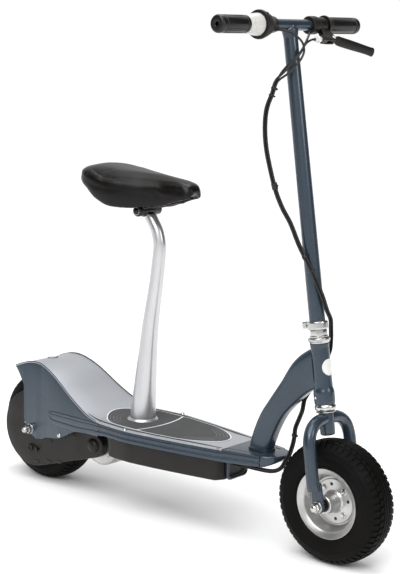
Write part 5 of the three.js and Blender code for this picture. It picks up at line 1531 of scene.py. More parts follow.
@dataclass(frozen=True)
class DeckFrame:
    """The deck's sheet, its two rails, the nose, the neck and the grip pads."""

    rail_rear: float = -341.0
    step: float = -165.0
    rail_front: float = 245.0
    nose_tip: float = 279.0
    rail_thickness: float = 14.0
    band_sheet: float = 1.7
    groove: float = 1.8
    pad_half: float = 74.6
    edge_strip: float = 16.9
    gap_bow: float = 14.0
    post_hole: float = 32.0
    line_pitch: float = 7.0

    PADS = (
        Pad("grip_pad_rear", -197.0, -66.0, 0.0, 0.6, 66.0),
        Pad("grip_pad_front", -62.0, 125.0, 1.0, 0.5, 80.0),
    )
    RAIL_X = (
        -341, -329.2, -305.8, -241.4, -167.5, -165, -144.6, -77.2, -12.7, 51.4, 115.9, 159,
        162.1, 203.7, 245,
    )
    RAIL_TOP = (0.62, 0.72, 0.78, 0.9, 1, 1, 1, 1, 1, 1, 1, 1, 1.115, 1.115, 1.115)
    RAIL_LOW = (0.1, -0.42, -0.46, -0.42, -0.12, -0.12, 0, 0, 0, 0, 0, 0, 0, 0.08, 0.16)

    def build(self) -> None:
        """Builds the deck from its sheet out."""
        self._plate()
        self._rails()
        self._nose()
        self._neck()
        self._pads()
        self._strips()

    @staticmethod
    def _plate() -> None:
        """Builds the deck's sheet with its studs and screws."""
        form = Form()
        rings = []
        top, low = DECK.top, DECK.top - DECK.sheet
        for x in evenly(DECK.seam_x + 0.6, DECK.plate_front_x, 40):
            half = DECK.half(x)
            corners = [(-half, top, 0.8), (half, top, 0.8), (half, low), (-half, low)]
            rings.append(section(x, rounded(corners, 3, closed=True)))
        form.loft(rings)
        form.finish_index = 1
        stud = rounded([(5.4, 0), (5.4, 0.9, 0.3), (4.4, 1.2, 0.3), (3.4, 3.4, 1), (0, 4.0)])
        for side in (-1, 1):
            form.turned(stud, upright(-82, side * 93.2, top - 0.4), 28)
        form.finish_index = 2
        for side in (-1, 1):
            form.screw(upright(150, side * 60, top), 3.4, 1.4)
        form.done("deck_plate_smooth", "frame", [SILVER, BRIGHT, DRIVE], ["deck_plate"])

    def _rail_ring(self, x: float, thin: bool, side: int) -> list[Vector]:
        """Draws one section of a rail, round its grooves.

        Args:
            x: The section's place along the scooter.
            thin: Whether it is the thin band beside the fender.
            side: 1 for the left rail, -1 for the right.

        Returns:
            The section's points.
        """
        outer = DECK.half(x) + DECK.rail_proud
        inner = outer - (self.band_sheet if thin else self.rail_thickness)
        groove = outer - (self.band_sheet / 2 if thin else self.groove)
        low = DECK.rail_base + smooth_value(self.RAIL_X, self.RAIL_LOW, x) * DECK.rail_height
        high = DECK.rail_base + smooth_value(self.RAIL_X, self.RAIL_TOP, x) * DECK.rail_height
        tall = high - low
        shares = (0, 0.08, 0.3, 0.36, 0.44, 0.5, 0.76, 0.8, 0.86, 0.9, 1)
        depths = (groove, outer, outer, groove, groove, outer, outer, groove, groove, outer, outer)
        reach = (0.8, 1.0, 0.6, 0.5, 0.5, 0.6, 0.5, 0.3, 0.3, 0.4, 1.2)
        corners = [(y, low + tall * s, r * (0.5 if thin else 1)) for s, y, r in zip(shares, depths, reach)]
        corners += [(inner, high), (inner, low)]
        return section(x, rounded(corners, 2, closed=True), side)

    def _rails(self) -> None:
        """Builds the two rails, each a thick block ahead of a thin band."""
        for name, side in (("rail_left", 1), ("rail_right", -1)):
            form = Form()
            for start, end, steps, thin in (
                (self.rail_rear, self.step - 0.01, 30, True),
                (self.step, DECK.plate_front_x, 44, False),
                (DECK.plate_front_x, self.rail_front, 16, False),
            ):
                form.loft([self._rail_ring(x, thin, side) for x in evenly(start, end, steps)])
            form.done(f"{name}_smooth", "frame", [PAINT], [name], sharp=30)

    @staticmethod
    def _nose_ring(x: float, half: float, low: float) -> list[Vector]:
        """Draws one section of the nose.

        Args:
            x: The section's place along the scooter.
            half: Half its width.
            low: The height of its underside.

        Returns:
            The section's points.
        """
        high = DECK.top
        c = min(5.0, half / 3)
        corners = [(half, high, c), (half, low, c), (-half, low, c), (-half, high, c)]
        return section(x, rounded(corners, 5, closed=True))

    def _nose(self) -> None:
        """Builds the nose between the rails and its rounded tip."""
        form = Form()
        end = self.rail_front + FIT
        rings = []
        for x in evenly(DECK.plate_front_x + 0.6, end, 16):
            half = DECK.half(x) + DECK.rail_proud - self.rail_thickness - FIT
            rings.append(self._nose_ring(x, half, DECK.rail_base))
        form.loft(rings)
        places = (0, 0.05, 0.3, 0.5, 0.7, 0.86, 0.95, 1)
        widths = (0.95, 0.96, 0.9, 0.8, 0.65, 0.46, 0.32, 0.18)
        rises = (0.08, 0.1, 0.22, 0.33, 0.48, 0.64, 0.76, 0.83)
        full = DECK.half(self.rail_front) + DECK.rail_proud
        tip = []
        for share in evenly(0, 1, 24):
            half = smooth_value(places, widths, share) * full
            low = DECK.rail_base + smooth_value(places, rises, share) * DECK.rail_height
            tip.append(self._nose_ring(end + share * (self.nose_tip - end), half, low))
        form.loft(tip)
        form.done("deck_nose_smooth", "frame", [PAINT], ["deck_nose"])

    @staticmethod
    def _neck() -> None:
        """Builds the neck, which leans forward from the nose to the head tube."""
        top = STEERING.frame @ Vector((-9.5, 0, 266.9))
        base = Vector((218, 0, DECK.top))
        along_x = (0, 0, 0, 0.072, 0.165, 0.3, 0.54, 0.78, 1)
        along_z = (0, 0.026, 0.036, 0.187, 0.337, 0.49, 0.7, 0.89, 1)
        depths = (1, 1, 1, 1.04, 1.04, 1, 1.16, 1.5, 1.75)
        stations = tuple(range(9))

        def place(t: float) -> tuple[float, float]:
            """The middle line's place at a station."""
            x = base.x + smooth_value(stations, along_x, t) * (top.x - base.x)
            return x, base.z + smooth_value(stations, along_z, t) * (top.z - base.z)

        times = [0, 0.5, 1, 1.25, 1.5, 1.75, 2] + [2 + 6 * k / 40 for k in range(1, 41)]
        rings = []
        for t in times:
            x, z = place(t)
            before, after = place(max(0, t - 0.4)), place(min(8, t + 0.4))
            heading = math.atan2(after[1] - before[1], after[0] - before[0])
            if t > 7.4:
                share = (t - 7.4) / 0.6
                heading = heading * (1 - share) + STEERING.rake * share
            flare = min(1.0, max(0.0, 2 - t)) ** 2 * 2.4
            deep = 47 * smooth_value(stations, depths, t) / 2 + flare
            wide = 18 + flare
            ring = []
            for k in range(64):
                turn = math.tau * k / 64
                cosine, sine = math.cos(turn), math.sin(turn)
                a = math.copysign(abs(cosine) ** 0.55, cosine) * deep
                b = math.copysign(abs(sine) ** 0.55, sine) * wide
                ring.append(Vector((x + a * math.sin(heading), b, z - a * math.cos(heading))))
            rings.append(ring)
        form = Form()
        form.loft(rings)
        form.done("neck_tube_smooth", "frame", [PAINT], ["neck_tube"], sharp=50)

    @staticmethod
    def _surface(x: float) -> float:
        """The height of what the pads lie on."""
        return DECK.top if x > DECK.seam_x else DECK.fender_z(x)

    def _pad_half(self, pad: Pad, share: float) -> float:
        """Works out half a pad's width along the deck's edge and round its far end.

        Args:
            pad: The pad.
            share: How far along it.

        Returns:
            Half its width there.
        """
        x = pad.low + (pad.high - pad.low) * share
        apart = min(abs(share - pad.far) / pad.round_off, 1.0)
        half = min(DECK.half(x) - self.edge_strip, self.pad_half)
        return max(half * math.sqrt(1 - (1 - apart) ** 2), 2.0)

    def _pads(self) -> None:
        """Builds the two grip pads with their silver borders and fine lines."""
        for pad in self.PADS:
            form = Form()
            for index, (inset, top) in enumerate(((0.0, 1.0), (-1.9, 0.85))):
                form.finish_index = index
                self._sheet(form, pad, inset, top)
            form.finish_index = 2
            self._contours(form, pad)
            form.done(f"{pad.name}_sheet", "frame", [GRIT, LINE, FAINT], [pad.name], sharp=30)

    def _sheet(self, form: Form, pad: Pad, inset: float, top: float) -> None:
        """Adds one sheet of a pad, open round the seat's post.

        Args:
            form: The pad in progress.
            pad: The pad.
            inset: How far inside the pad's outline the sheet ends.
            top: The sheet's height over the deck.
        """

        def upper(u: float, v: float) -> Vector:
            """The sheet's upper side at two shares."""
            column = 2 * u - 1
            x = pad.low + (pad.high - pad.low) * v
            x += self.gap_bow * abs(v - pad.far) * (1 - column * column)
            x += inset * (1 - 2 * v)
            return Vector((x, column * (self._pad_half(pad, v) - inset), self._surface(x) + top))

        faces = form.patch(upper, 40, 60)
        post = Vector((POST_X, 0))
        hole = [f for f in faces if (f.calc_center_median().xy - post).length < self.post_hole]
        bmesh.ops.delete(form.mesh, geom=hole, context="FACES")
        faces = [f for f in faces if f.is_valid]
        lowered = bmesh.ops.extrude_face_region(form.mesh, geom=faces, use_keep_orig=True)["geom"]
        moved = [item for item in lowered if isinstance(item, bmesh.types.BMVert)]
        bmesh.ops.translate(form.mesh, vec=(0, 0, FIT - top), verts=moved)

    def _line_half(self, pad: Pad, line: int, x: float) -> float:
        """Works out how far from the middle a pad's fine line runs.

        Args:
            pad: The pad.
            line: The line's number from the far end.
            x: The place along the scooter.

        Returns:
            The line's distance from the middle.
        """
        across = x - pad.sense * (self.line_pitch * line + 4.0)
        share = (across - pad.low) / (pad.high - pad.low)
        wide = self._pad_half(pad, min(max(share, 0.0), 1.0))
        begun = pad.sense * (x - self._line_start(pad, line))
        wide *= min(1.0, math.sqrt(max(0.0, begun) / 9))
        return max(wide - 3.0 - 3.2 * line, 0.0)

    def _line_start(self, pad: Pad, line: int) -> float:
        """The place along the scooter where a pad's fine line begins."""
        return pad.end + pad.sense * (5.0 + self.line_pitch * line)

    def _contours(self, form: Form, pad: Pad) -> None:
        """Adds the fine lines that run round inside a pad's far end.

        Args:
            form: The pad in progress.
            pad: The pad.
        """
        for line in range(4):
            start = self._line_start(pad, line)
            reach = pad.sense * (pad.line_reach - self.line_pitch * line)
            for side in (-1, 1):
                rings = []
                for share in evenly(0, 1, 40):
                    x = start + reach * share ** 2
                    outer, z = self._line_half(pad, line, x), self._surface(x)
                    inner = max(outer - 1.6 * (1.1 - share), 0.0)
                    low, high = z + 0.9, z + 1.12
                    corners = [(inner, high), (outer, high), (outer, low), (inner, low)]
                    rings.append(section(x, corners, side))
                form.loft(rings)

    def _strips(self) -> None:
        """Builds the dark grip stripes along the deck's edges."""
        form = Form()
        for side in (-1, 1):
            rings = []
            for i in range(61):
                x = -209 + 363 * i / 60
                taper = min(1.0, i / 6, (60 - i) / 8)
                outer = DECK.half(x) - 8.6
                inner = outer - 0.8 - 4.6 * max(0.08, taper)
                low, high = self._surface(x) + 0.2, self._surface(x) + 0.6
                corners = [(inner, high), (outer, high), (outer, low), (inner, low)]
                rings.append(section(x, corners, side))
            form.loft(rings)
        form.done("deck_edge_strips", "frame", [GRIT_DARK], sharp=30)


# Rear fender and side plates


@dataclass(frozen=True)
class Tail:
    """The rear fender and the side plates under it."""

    sheet: float = 2.0
    plate_sheet: float = 3.5
    lowest: float = 104.0
    bead_run: float = 281.0

    LOW_X = (0, 0.04, 0.07, 0.094, 0.096, 0.123, 0.127, 0.185, 0.237, 0.307, 0.362, 0.512, 0.624, 0.7,
             0.784, 1)
    LOW_Z = (0.894, 0.811, 0.733, 0.678, 0.233, 0.15, 0.05, 0.039, 0, 0.022, 0.061, 0.1, 0.183, 0.25,
             0.289, 0.3)

    def build(self) -> None:
        """Builds the fender, then the plates with their small fittings."""
        self._fender()
        self._plates()

    def _fender(self) -> None:
        """Builds the fender's sheet with its seam lines and a plain round badge at its back."""
        form = Form()
        rings = []
        for x in evenly(DECK.tail_x, DECK.seam_x, 60):
            half, top = DECK.half(x), DECK.fender_z(x)
            low = top - self.sheet
            corners = [(-half, top, 0.7), (half, top, 0.7), (half, low), (-half, low)]
            rings.append(section(x, rounded(corners, 3, closed=True)))
        form.loft(rings)
        form.finish_index = 1
        for side in (-1, 1):
            ribbon = []
            for i in range(7):
                x, y = -163.0 - 20 * i / 6, side * (-91 + 45 * (i / 6) ** 1.15)
                z = max(DECK.fender_z(min(x, DECK.seam_x)), DECK.top) + 0.12
                ribbon.append([Vector((x - 0.7, y, z)), Vector((x + 0.7, y, z)),
                               Vector((x + 0.7, y, z - 0.5)), Vector((x - 0.7, y, z - 0.5))])
            form.loft(ribbon)
        form.finish_index = 2
        lean = math.atan2(DECK.fender_z(-396) - DECK.fender_z(-406), 10)
        seat = frame_at((-401, 0, DECK.fender_z(-401) - 0.2), (math.cos(lean), 0, math.sin(lean)),
                        (-math.sin(lean), 0, math.cos(lean)))
        form.turned(rounded([(8.8, 0), (8.8, 0.9, 0.3), (0, 0.9)]), seat, 48)
        form.finish_index = 3
        rim = [(12.5, 0), (12.5, 0.8, 0.3), (10.8, 1.3, 0.4), (8.9, 0.9, 0.3), (8.9, 0)]
        form.turned(rounded(rim), seat, 48)
        form.done("rear_fender_smooth", "frame", [SILVER, DRIVE, BADGE, RUBBER], ["rear_fender"])

    def _plate_low(self, x: float) -> float:
        """The height of a side plate's lower edge."""
        share = (x - DECK.tail_x) / (DECK.seam_x - DECK.tail_x)
        return self.lowest + broken_value(self.LOW_X, self.LOW_Z, share) * (DECK.fender_crest - self.lowest)

    def _plates(self) -> None:
        """Builds the side plates with their beads, the brake arm's stud, a pin and a screw."""
        run = DECK.seam_x - DECK.tail_x
        steps = {DECK.tail_x + share * run for share in self.LOW_X}
        xs = sorted(steps | set(evenly(DECK.tail_x, DECK.seam_x, 70)))
        for name, side in (("side_plate_left", 1), ("side_plate_right", -1)):
            form = Form()
            rings = []
            for x in xs:
                low, high = self._plate_low(x), DECK.fender_z(x) - self.sheet - FIT
                outer, inner = DECK.half(x), DECK.half(x) - self.plate_sheet
                corners = [(outer, low, 0.6), (outer, high, 0.6), (inner, high), (inner, low)]
                rings.append(section(x, rounded(corners, 2, closed=True), side))
            form.loft(rings)
            beads = []
            for i, x in enumerate(evenly(DECK.tail_x, DECK.tail_x + self.bead_run, 70)):
                outer, inner = DECK.half(x) + 0.3, DECK.half(x) - 2.2
                top = DECK.fender_z(x) + 0.25
                lift = 1.5 * min(1.0, (70 - i) / 12) + 0.05
                corners = [(outer, top, 0.1), (outer, top + lift, 0.5 * lift),
                           (inner, top + lift, 0.5 * lift), (inner, top, 0.1)]
                beads.append(section(x, rounded(corners, 2, closed=True), side))
            form.loft(beads)
            form.finish_index = 1
            if side > 0:
                stud = outward(BRAKE_PIVOT[0], 57, BRAKE_PIVOT[1], 1)
                form.turned(rounded([(0, 0), (3.6, 0, 0.5), (4, 0.6), (4, 11.5), (0, 11.5)]), stud, 24)
            else:
                pin = outward(-302, -DECK.half(-302), 131, -1)
                dome = [(5.2, -1), (5.2, 1.5, 0.5), (4.4, 3.2, 1), (2, 4.2, 1), (0, 4.3)]
                form.turned(rounded(dome), pin, 28)
                form.screw(outward(-424, -62.4, 137, -1), 3.2, 2.2)
            form.done(f"{name}_smooth", "frame", [PAINT, BRIGHT], [name], sharp=30)


# Seat


@dataclass(frozen=True)
class Seat:
    """The post, the clamp, the wire rails, the pan and the padded saddle."""

    rear_x: float = -263.0
    length: float = 290.0
    base_z: float = 658.0
    depth: float = 90.0
    half_width: float = 82.0
    clamp_x: float = -110.0
    clamp_z: float = 654.0
    swell: float = 1.6
    hem: float = 8.2
    hem_height: float = 8.0
    hem_flat: float = 4.0
    hem_fade: float = 14.0
    post_reach: float = 42.5
    voxel: float = 0.004
    pressure: float = 4.0
    frames: int = 20
    smoothings: int = 5

    S = (0, 0.016, 0.06, 0.129, 0.238, 0.364, 0.505, 0.63, 0.755, 0.881, 0.95, 0.984, 1)
    WIDTH = (0.32, 0.58, 0.82, 0.947, 1, 0.968, 0.8, 0.59, 0.442, 0.379, 0.326, 0.253, 0.126)
    TOP = (0.733, 0.911, 0.968, 0.972, 0.945, 0.903, 0.868, 0.838, 0.806, 0.772, 0.725, 0.68, 0.59)
    LOW = (0.578, 0.556, 0.533, 0.444, 0.206, 0.061, 0.033, 0.083, 0.133, 0.267, 0.322, 0.378, 0.444)
    CEILING = (0.644, 0.622, 0.6, 0.522, 0.4, 0.356, 0.34, 0.322, 0.311, 0.344, 0.4, 0.456, 0.5)
    CROWN_Y = (0, 0.1, 0.2, 0.5, 0.78, 0.93, 1, 0.99, 0.95, 0.89, 0.83)
    CROWN_Z = (0.995, 0.996, 0.995, 0.965, 0.885, 0.78, 0.6, 0.3, 0.06, 0, 0.04)

    def build(self) -> None:
        """Builds the seat from the post up."""
        self._post()
        self._clamp()
        self._rails()
        self._pan()
        self._cushion()

    def _share(self, x: float) -> float:
        """How far along the saddle a place lies."""
        return min(max((x - self.rear_x) / self.length, 0.0), 1.0)

    def _read(self, table: Sequence[float], share: float) -> float:
        """Reads one of the seat's tables at a share of its length."""
        return smooth_value(self.S, table, share)

    def _level(self, table: Sequence[float], share: float) -> float:
        """Reads one of the seat's height tables."""
        return self.base_z + self.depth * self._read(table, share)

    def _pan_under(self, x: float) -> float:
        """The height of the pan's underside over a wire."""
        shares = [(x + d - self.rear_x) / self.length for d in (-3.5, 3.5)]
        return min(self._level(self.CEILING, s) for s in shares) - 4.6

    def _post(self) -> None:
        """Builds the bent post, its foot ring and the flange round it."""
        sweeps = (0, 0.42, 0.82, 0.93, 1, 0.84, 0.52, 0.27)
        heights = (0, 0.436, 0.678, 0.76, 0.836, 0.903, 0.95, 0.985)
        radii = (29, 18.36, 14.85, 14.3, 13.6, 13.2, 13.0, 13.0)
        tall = self.clamp_z - DECK.top
        rings = []
        for i in range(71):
            h = heights[-1] * i / 70
            x = POST_X + self.post_reach * smooth_value(heights, sweeps, h)
            ahead = POST_X + self.post_reach * smooth_value(heights, sweeps, h + 0.012)
            lean = math.atan2(ahead - x, 0.012 * tall) if 0 < i else 0.0
            radius = smooth_value(heights, radii, h)
            z = DECK.top + h * tall
            ring = []
            for k in range(48):
                turn = math.tau * k / 48
                across, wide = radius * math.cos(turn), radius * math.sin(turn)
                ring.append(Vector((x + across * math.cos(lean), wide, z - across * math.sin(lean))))
            rings.append(ring)
        form = Form()
        form.loft(rings)
        form.done("seat_post_smooth", "frame", [POST], ["seat_post"])
        flange = Form()
        flange.turned(rounded([
            (29.4, 0.2), (34, 0.2, 0.8), (34.2, 1.6, 0.8), (32.6, 3, 1), (30.4, 5.6, 1.5), (29.3, 5.8),
        ]), upright(POST_X, 0, DECK.top), 72, closed=True)
        flange.done("seat_post_flange_smooth", "frame", [POST], ["seat_post_flange"])

    def _clamp(self) -> None:
        """Builds the clamp's two cheeks round the wires, and its bolt."""
        roll = across_y(self.clamp_x, self.clamp_z)
        form = Form()
        form.turned(rounded([
            (4.4, -34), (10.6, -34, 1), (12, -32.4, 1), (12, -16, 0.5), (13.6, -15, 0.6), (13.6, 15, 0.6),
            (12, 16, 0.5), (12, 32.4, 1), (10.6, 34, 1), (4.4, 34),
        ]), roll, 40, closed=True)
        for side in (-1, 1):
            low, high = sorted((side * 16.8, side * 29.6))
            form.block((self.clamp_x - 16, low, self.clamp_z + 4.4),
                       (self.clamp_x + 16, high, self.clamp_z + 14.6), bevel=2.2)
        form.done("seat_clamp_smooth", "frame", [BLACK_STEEL], ["seat_clamp"])
        bolt = Form()
        for side in (-1, 1):
            end = outward(self.clamp_x, side * 34.3, self.clamp_z, side)
            bolt.finish_index = 0
            bolt.turned(rounded([(2, 0), (8.6, 0, 0.3), (8.6, 1.4, 0.4), (2, 1.4)]), end, 32)
            bolt.finish_index = 1
            bolt.turned(rounded([(7.4, 1.2), (7.4, 3, 1), (5.4, 6, 2), (2.4, 7.2, 1), (0, 7.4)]), end, 32)
        bolt.turned([(0, -36), (4, -36), (4, 36), (0, 36)], roll, 20)
        bolt.done("seat_clamp_bolt_smooth", "frame", [BRIGHT, BLACK_STEEL], ["seat_clamp_bolt"])

    def _rails(self) -> None:
        """Builds the bent wire under the saddle and its two bumpers."""
        level, rear, nose = self.clamp_z + 10, self.clamp_x - 112, self.clamp_x + 100
        side = [
            (rear, 34, self._pan_under(rear)), (rear, 34, self._pan_under(rear) - 10),
            (rear + 10, 34, level + 5), (self.clamp_x - 56, 25.5, level), (self.clamp_x - 12, 22, level),
            (self.clamp_x + 12, 22, level), (self.clamp_x + 50, 16.5, level + 3.5),
            (nose - 10, 7, self._pan_under(nose - 10) - 3.5),
        ]
        points = [(x, -y, z) for x, y, z in side] + [(nose, 0, self._pan_under(nose) - 3.5)] + side[::-1]
        form = Form()
        form.tube(Route(points, 8), 3.5, 16)
        form.done("saddle_rails_smooth", "frame", [BLACK_STEEL], ["saddle_rails"])
        for name in ("seat_bumper_left", "seat_bumper_right"):
            low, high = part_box(name)
            centre = [(low[i] + high[i]) / 2 / MM for i in range(2)]
            tall = (high[2] - low[2]) / MM
            bumper = Form()
            bumper.turned(rounded([
                (0, 0), (6.2, 0, 2), (8.8, 3.4, 2), (8.9, tall * 0.62, 2), (6.4, tall - 2.2, 1),
                (5.6, tall), (0, tall),
            ]), upright(*centre, low[2] / MM), 32)
            bumper.done(f"{name}_smooth", "frame", [RUBBER], [name])

    def _pan(self) -> None:
        """Builds the saddle's base sheet."""
        rings = []
        for s in evenly(0.1, 0.9, 48):
            half = (self.half_width * self._read(self.WIDTH, s) - 5) * 0.83
            top = self._level(self.CEILING, s) - FIT
            corners = [(-half, top, 0.8), (half, top, 0.8), (half, top - 4, 1), (-half, top - 4, 1)]
            rings.append(section(self.rear_x + self.length * s, rounded(corners, 2, closed=True)))
        form = Form()
        form.loft(rings)
        form.done("seat_pan_smooth", "frame", [SEAT_BASE], ["seat_pan"])

    def _cushion_ring(self, s: float) -> list[Vector]:
        """Draws one section of the saddle's cover, down one side and up the other.

        Args:
            s: The section's share of the saddle's length.

        Returns:
            The section's points.
        """
        x = self.rear_x + self.length * s
        half = self.half_width * self._read(self.WIDTH, s)
        low, high = self._level(self.LOW, s), self._level(self.TOP, s)
        ceiling = max(self._level(self.CEILING, s), low + 0.3)
        steps = 30
        places = tuple(range(len(self.CROWN_Y)))
        inner = max(min(self.CROWN_Y[-1] * half, half - self.hem), 1.0)
        right = []
        for k in range(1, steps + 1):
            t = k / steps * places[-1]
            y = smooth_value(places, self.CROWN_Y, t) * half
            if t > places[-1] - 1:
                y += (inner - self.CROWN_Y[-1] * half) * (t - places[-1] + 1)
            right.append((y, low + smooth_value(places, self.CROWN_Z, t) * (high - low)))
        right.append((inner, ceiling))
        crown = (0.0, low + self.CROWN_Z[0] * (high - low))
        ring = [crown, *right, (0.0, ceiling), *[(-y, z) for y, z in reversed(right)]]
        return section(x, ring)

    def _cushion(self) -> None:
        shares = sorted({*self.S, *(i / 44 for i in range(45))})
        shares = [s for i, s in enumerate(shares) if i == 0 or s - shares[i - 1] > 0.004]
        form = Form()
        form.loft([self._cushion_ring(s) for s in shares])
        form.weld()
        drawn = [vert.co * MM for vert in form.mesh.verts]
        form.mesh.verts.index_update()
        faces = [[vert.index for vert in face.verts] for face in form.mesh.faces]
        cover = BVHTree.FromPolygons(drawn, faces)
        self._shrink(form)
        piece = form.done("saddle_cushion", "frame", [VINYL], ["seat_cushion"], sharp=60)
        self._blow_up(piece, cover)
        self._creases(piece)

    def _shrink(self, form: Form) -> None:
        """Draws the cover in by what the padding swells."""
        form.weld()
        bmesh.ops.recalc_face_normals(form.mesh, faces=form.mesh.faces)
        form.mesh.normal_update()
        for vert in form.mesh.verts:
            if not self._on_pan(vert.co):
                vert.co -= vert.normal * self.swell * (1 - self._near_hem(vert.co))

    def _near_hem(self, place: Vector) -> float:
        """How near a place is to the cover's lower edge, 1 on it and 0 on the padding above."""
        share = self._share(place.x)
        hem = max(self._level(self.LOW, share), self._level(self.CEILING, share) - self.hem_height)
        return min(max(1 - (place.z - hem - self.hem_flat) / self.hem_fade, 0.0), 1.0)

    def _on_pan(self, place: Vector) -> bool:
        """Whether a place of the cover lies on the saddle's base."""
        share = self._share(place.x)
        half = self.half_width * self._read(self.WIDTH, share) * 0.84
        return abs(place.y) < half and place.z < self._level(self.CEILING, share) + 1.0

    def _blow_up(self, piece: bpy.types.Object, cover: BVHTree) -> None:
        """Lets the padding swell against its cover, and keeps how far each place moves in bounds.

        Args:
            piece: The saddle's cover, whose mesh is changed.
            cover: The cover as it was drawn.
        """
        grid = piece.modifiers.new("Grid", "REMESH")
        grid.mode, grid.voxel_size = "VOXEL", self.voxel
        self._apply(piece)
        data = piece.data
        start = [vert.co.copy() for vert in data.vertices]
        held = piece.vertex_groups.new(name="held")
        held.add([i for i, co in enumerate(start) if self._on_pan(co / MM)], 1.0, "REPLACE")
        held.add([i for i, co in enumerate(start) if self._near_hem(co / MM) > 0.5], 1.0, "REPLACE")
        cloth = piece.modifiers.new("Padding", "CLOTH")
        cloth.settings.quality = 6
        cloth.settings.vertex_group_mass = "held"
        cloth.settings.use_pressure = True
        cloth.settings.uniform_pressure_force = self.pressure
        cloth.settings.effector_weights.gravity = 0.0
        cloth.collision_settings.use_collision = False
        cloth.point_cache.frame_start, cloth.point_cache.frame_end = 1, self.frames
        scene = bpy.context.scene
        for frame in range(1, self.frames + 1):
            scene.frame_set(frame)
        moved = piece.evaluated_get(bpy.context.evaluated_depsgraph_get()).to_mesh()
        for vert, begun, swollen in zip(data.vertices, start, moved.vertices):
            push = swollen.co - begun
            limit = 2 * self.swell * MM
            vert.co = begun + (push * (limit / push.length) if push.length > limit else push)
        piece.modifiers.remove(cloth)
        scene.frame_set(1)
        finer = piece.modifiers.new("Finer", "SUBSURF")
        finer.levels = finer.render_levels = 1
        self._apply(piece)
        self._settle(piece, cover)
        for polygon in piece.data.polygons:
            polygon.use_smooth = True

    def _settle(self, piece: bpy.types.Object, cover: BVHTree) -> None:
        """Evens the swollen cover out and lays its lower edge back on the drawn line.

        Args:
            piece: The swollen cover, whose mesh is changed.
            cover: The cover as it was drawn.
        """
        mesh = bmesh.new()
        mesh.from_mesh(piece.data)
        axes = {f"use_axis_{axis}": True for axis in "xyz"}
        for _ in range(self.smoothings):
            bmesh.ops.smooth_vert(mesh, verts=mesh.verts, factor=0.5, **axes)
        for vert in mesh.verts:
            share = self._near_hem(vert.co / MM)
            near = cover.find_nearest(vert.co)[0] if share > 0 else None
            if near is not None:
                vert.co = vert.co.lerp(near, share)
        mesh.to_mesh(piece.data)
        mesh.free()

    @staticmethod
    def _apply(piece: bpy.types.Object) -> None:
        """Turns what a piece's modifiers show into its mesh."""
        shown = piece.evaluated_get(bpy.context.evaluated_depsgraph_get())
        made = bpy.data.meshes.new_from_object(shown)
        piece.modifiers.clear()
        piece.data = made

    def _creases(self, piece: bpy.types.Object) -> None:
        """Presses in the soft line between the top and the flank.

        Args:
            piece: The saddle's cover, whose mesh is changed.
        """
        for vert in piece.data.vertices:
            x, y, z = vert.co / MM
            share = self._share(x)
            half = self.half_width * self._read(self.WIDTH, share)
            low, high = self._level(self.LOW, share), self._level(self.TOP, share)
            if z < low + 0.45 * (high - low):
                continue
            line = smooth_value((0, 0.1, 0.3, 0.6, 1), (0.2, 0.7, 0.84, 0.84, 0.7), share)
            apart = (abs(y) / max(half, 1) - line) * half
            fade = min(1.0, max(0.0, share - 0.1) / 0.15) * min(1.0, max(0.0, 0.93 - share) / 0.08)
            vert.co.z -= 1.4 * math.exp(-((apart / 3.4) ** 2)) * fade * MM


# Power: case, hanger, motor, chain and guard


def belt(x0: float, z0: float, r0: float, x1: float, z1: float, r1: float, steps: int = 24) -> list[Vector]:
    """Draws the outline of a belt round two circles.

    Args:
        x0: First circle's place along X.
        z0: First circle's height.
        r0: First circle's radius.
        x1: Second circle's place along X.
        z1: Second circle's height.
        r1: Second circle's radius.
        steps: Steps of each arc.

    Returns:
        The outline's points, counter-clockwise in X and Z.
    """
    span = Vector((x1 - x0, z1 - z0))
    heading = math.atan2(span.y, span.x)
    spread = math.acos((r0 - r1) / span.length)
    points = []
    for k in range(steps + 1):
        turn = heading + spread + (math.tau - 2 * spread) * k / steps
        points.append(Vector((x0 + r0 * math.cos(turn), z0 + r0 * math.sin(turn))))
    for k in range(steps + 1):
        turn = heading - spread + 2 * spread * k / steps
        points.append(Vector((x1 + r1 * math.cos(turn), z1 + r1 * math.sin(turn))))
    return points


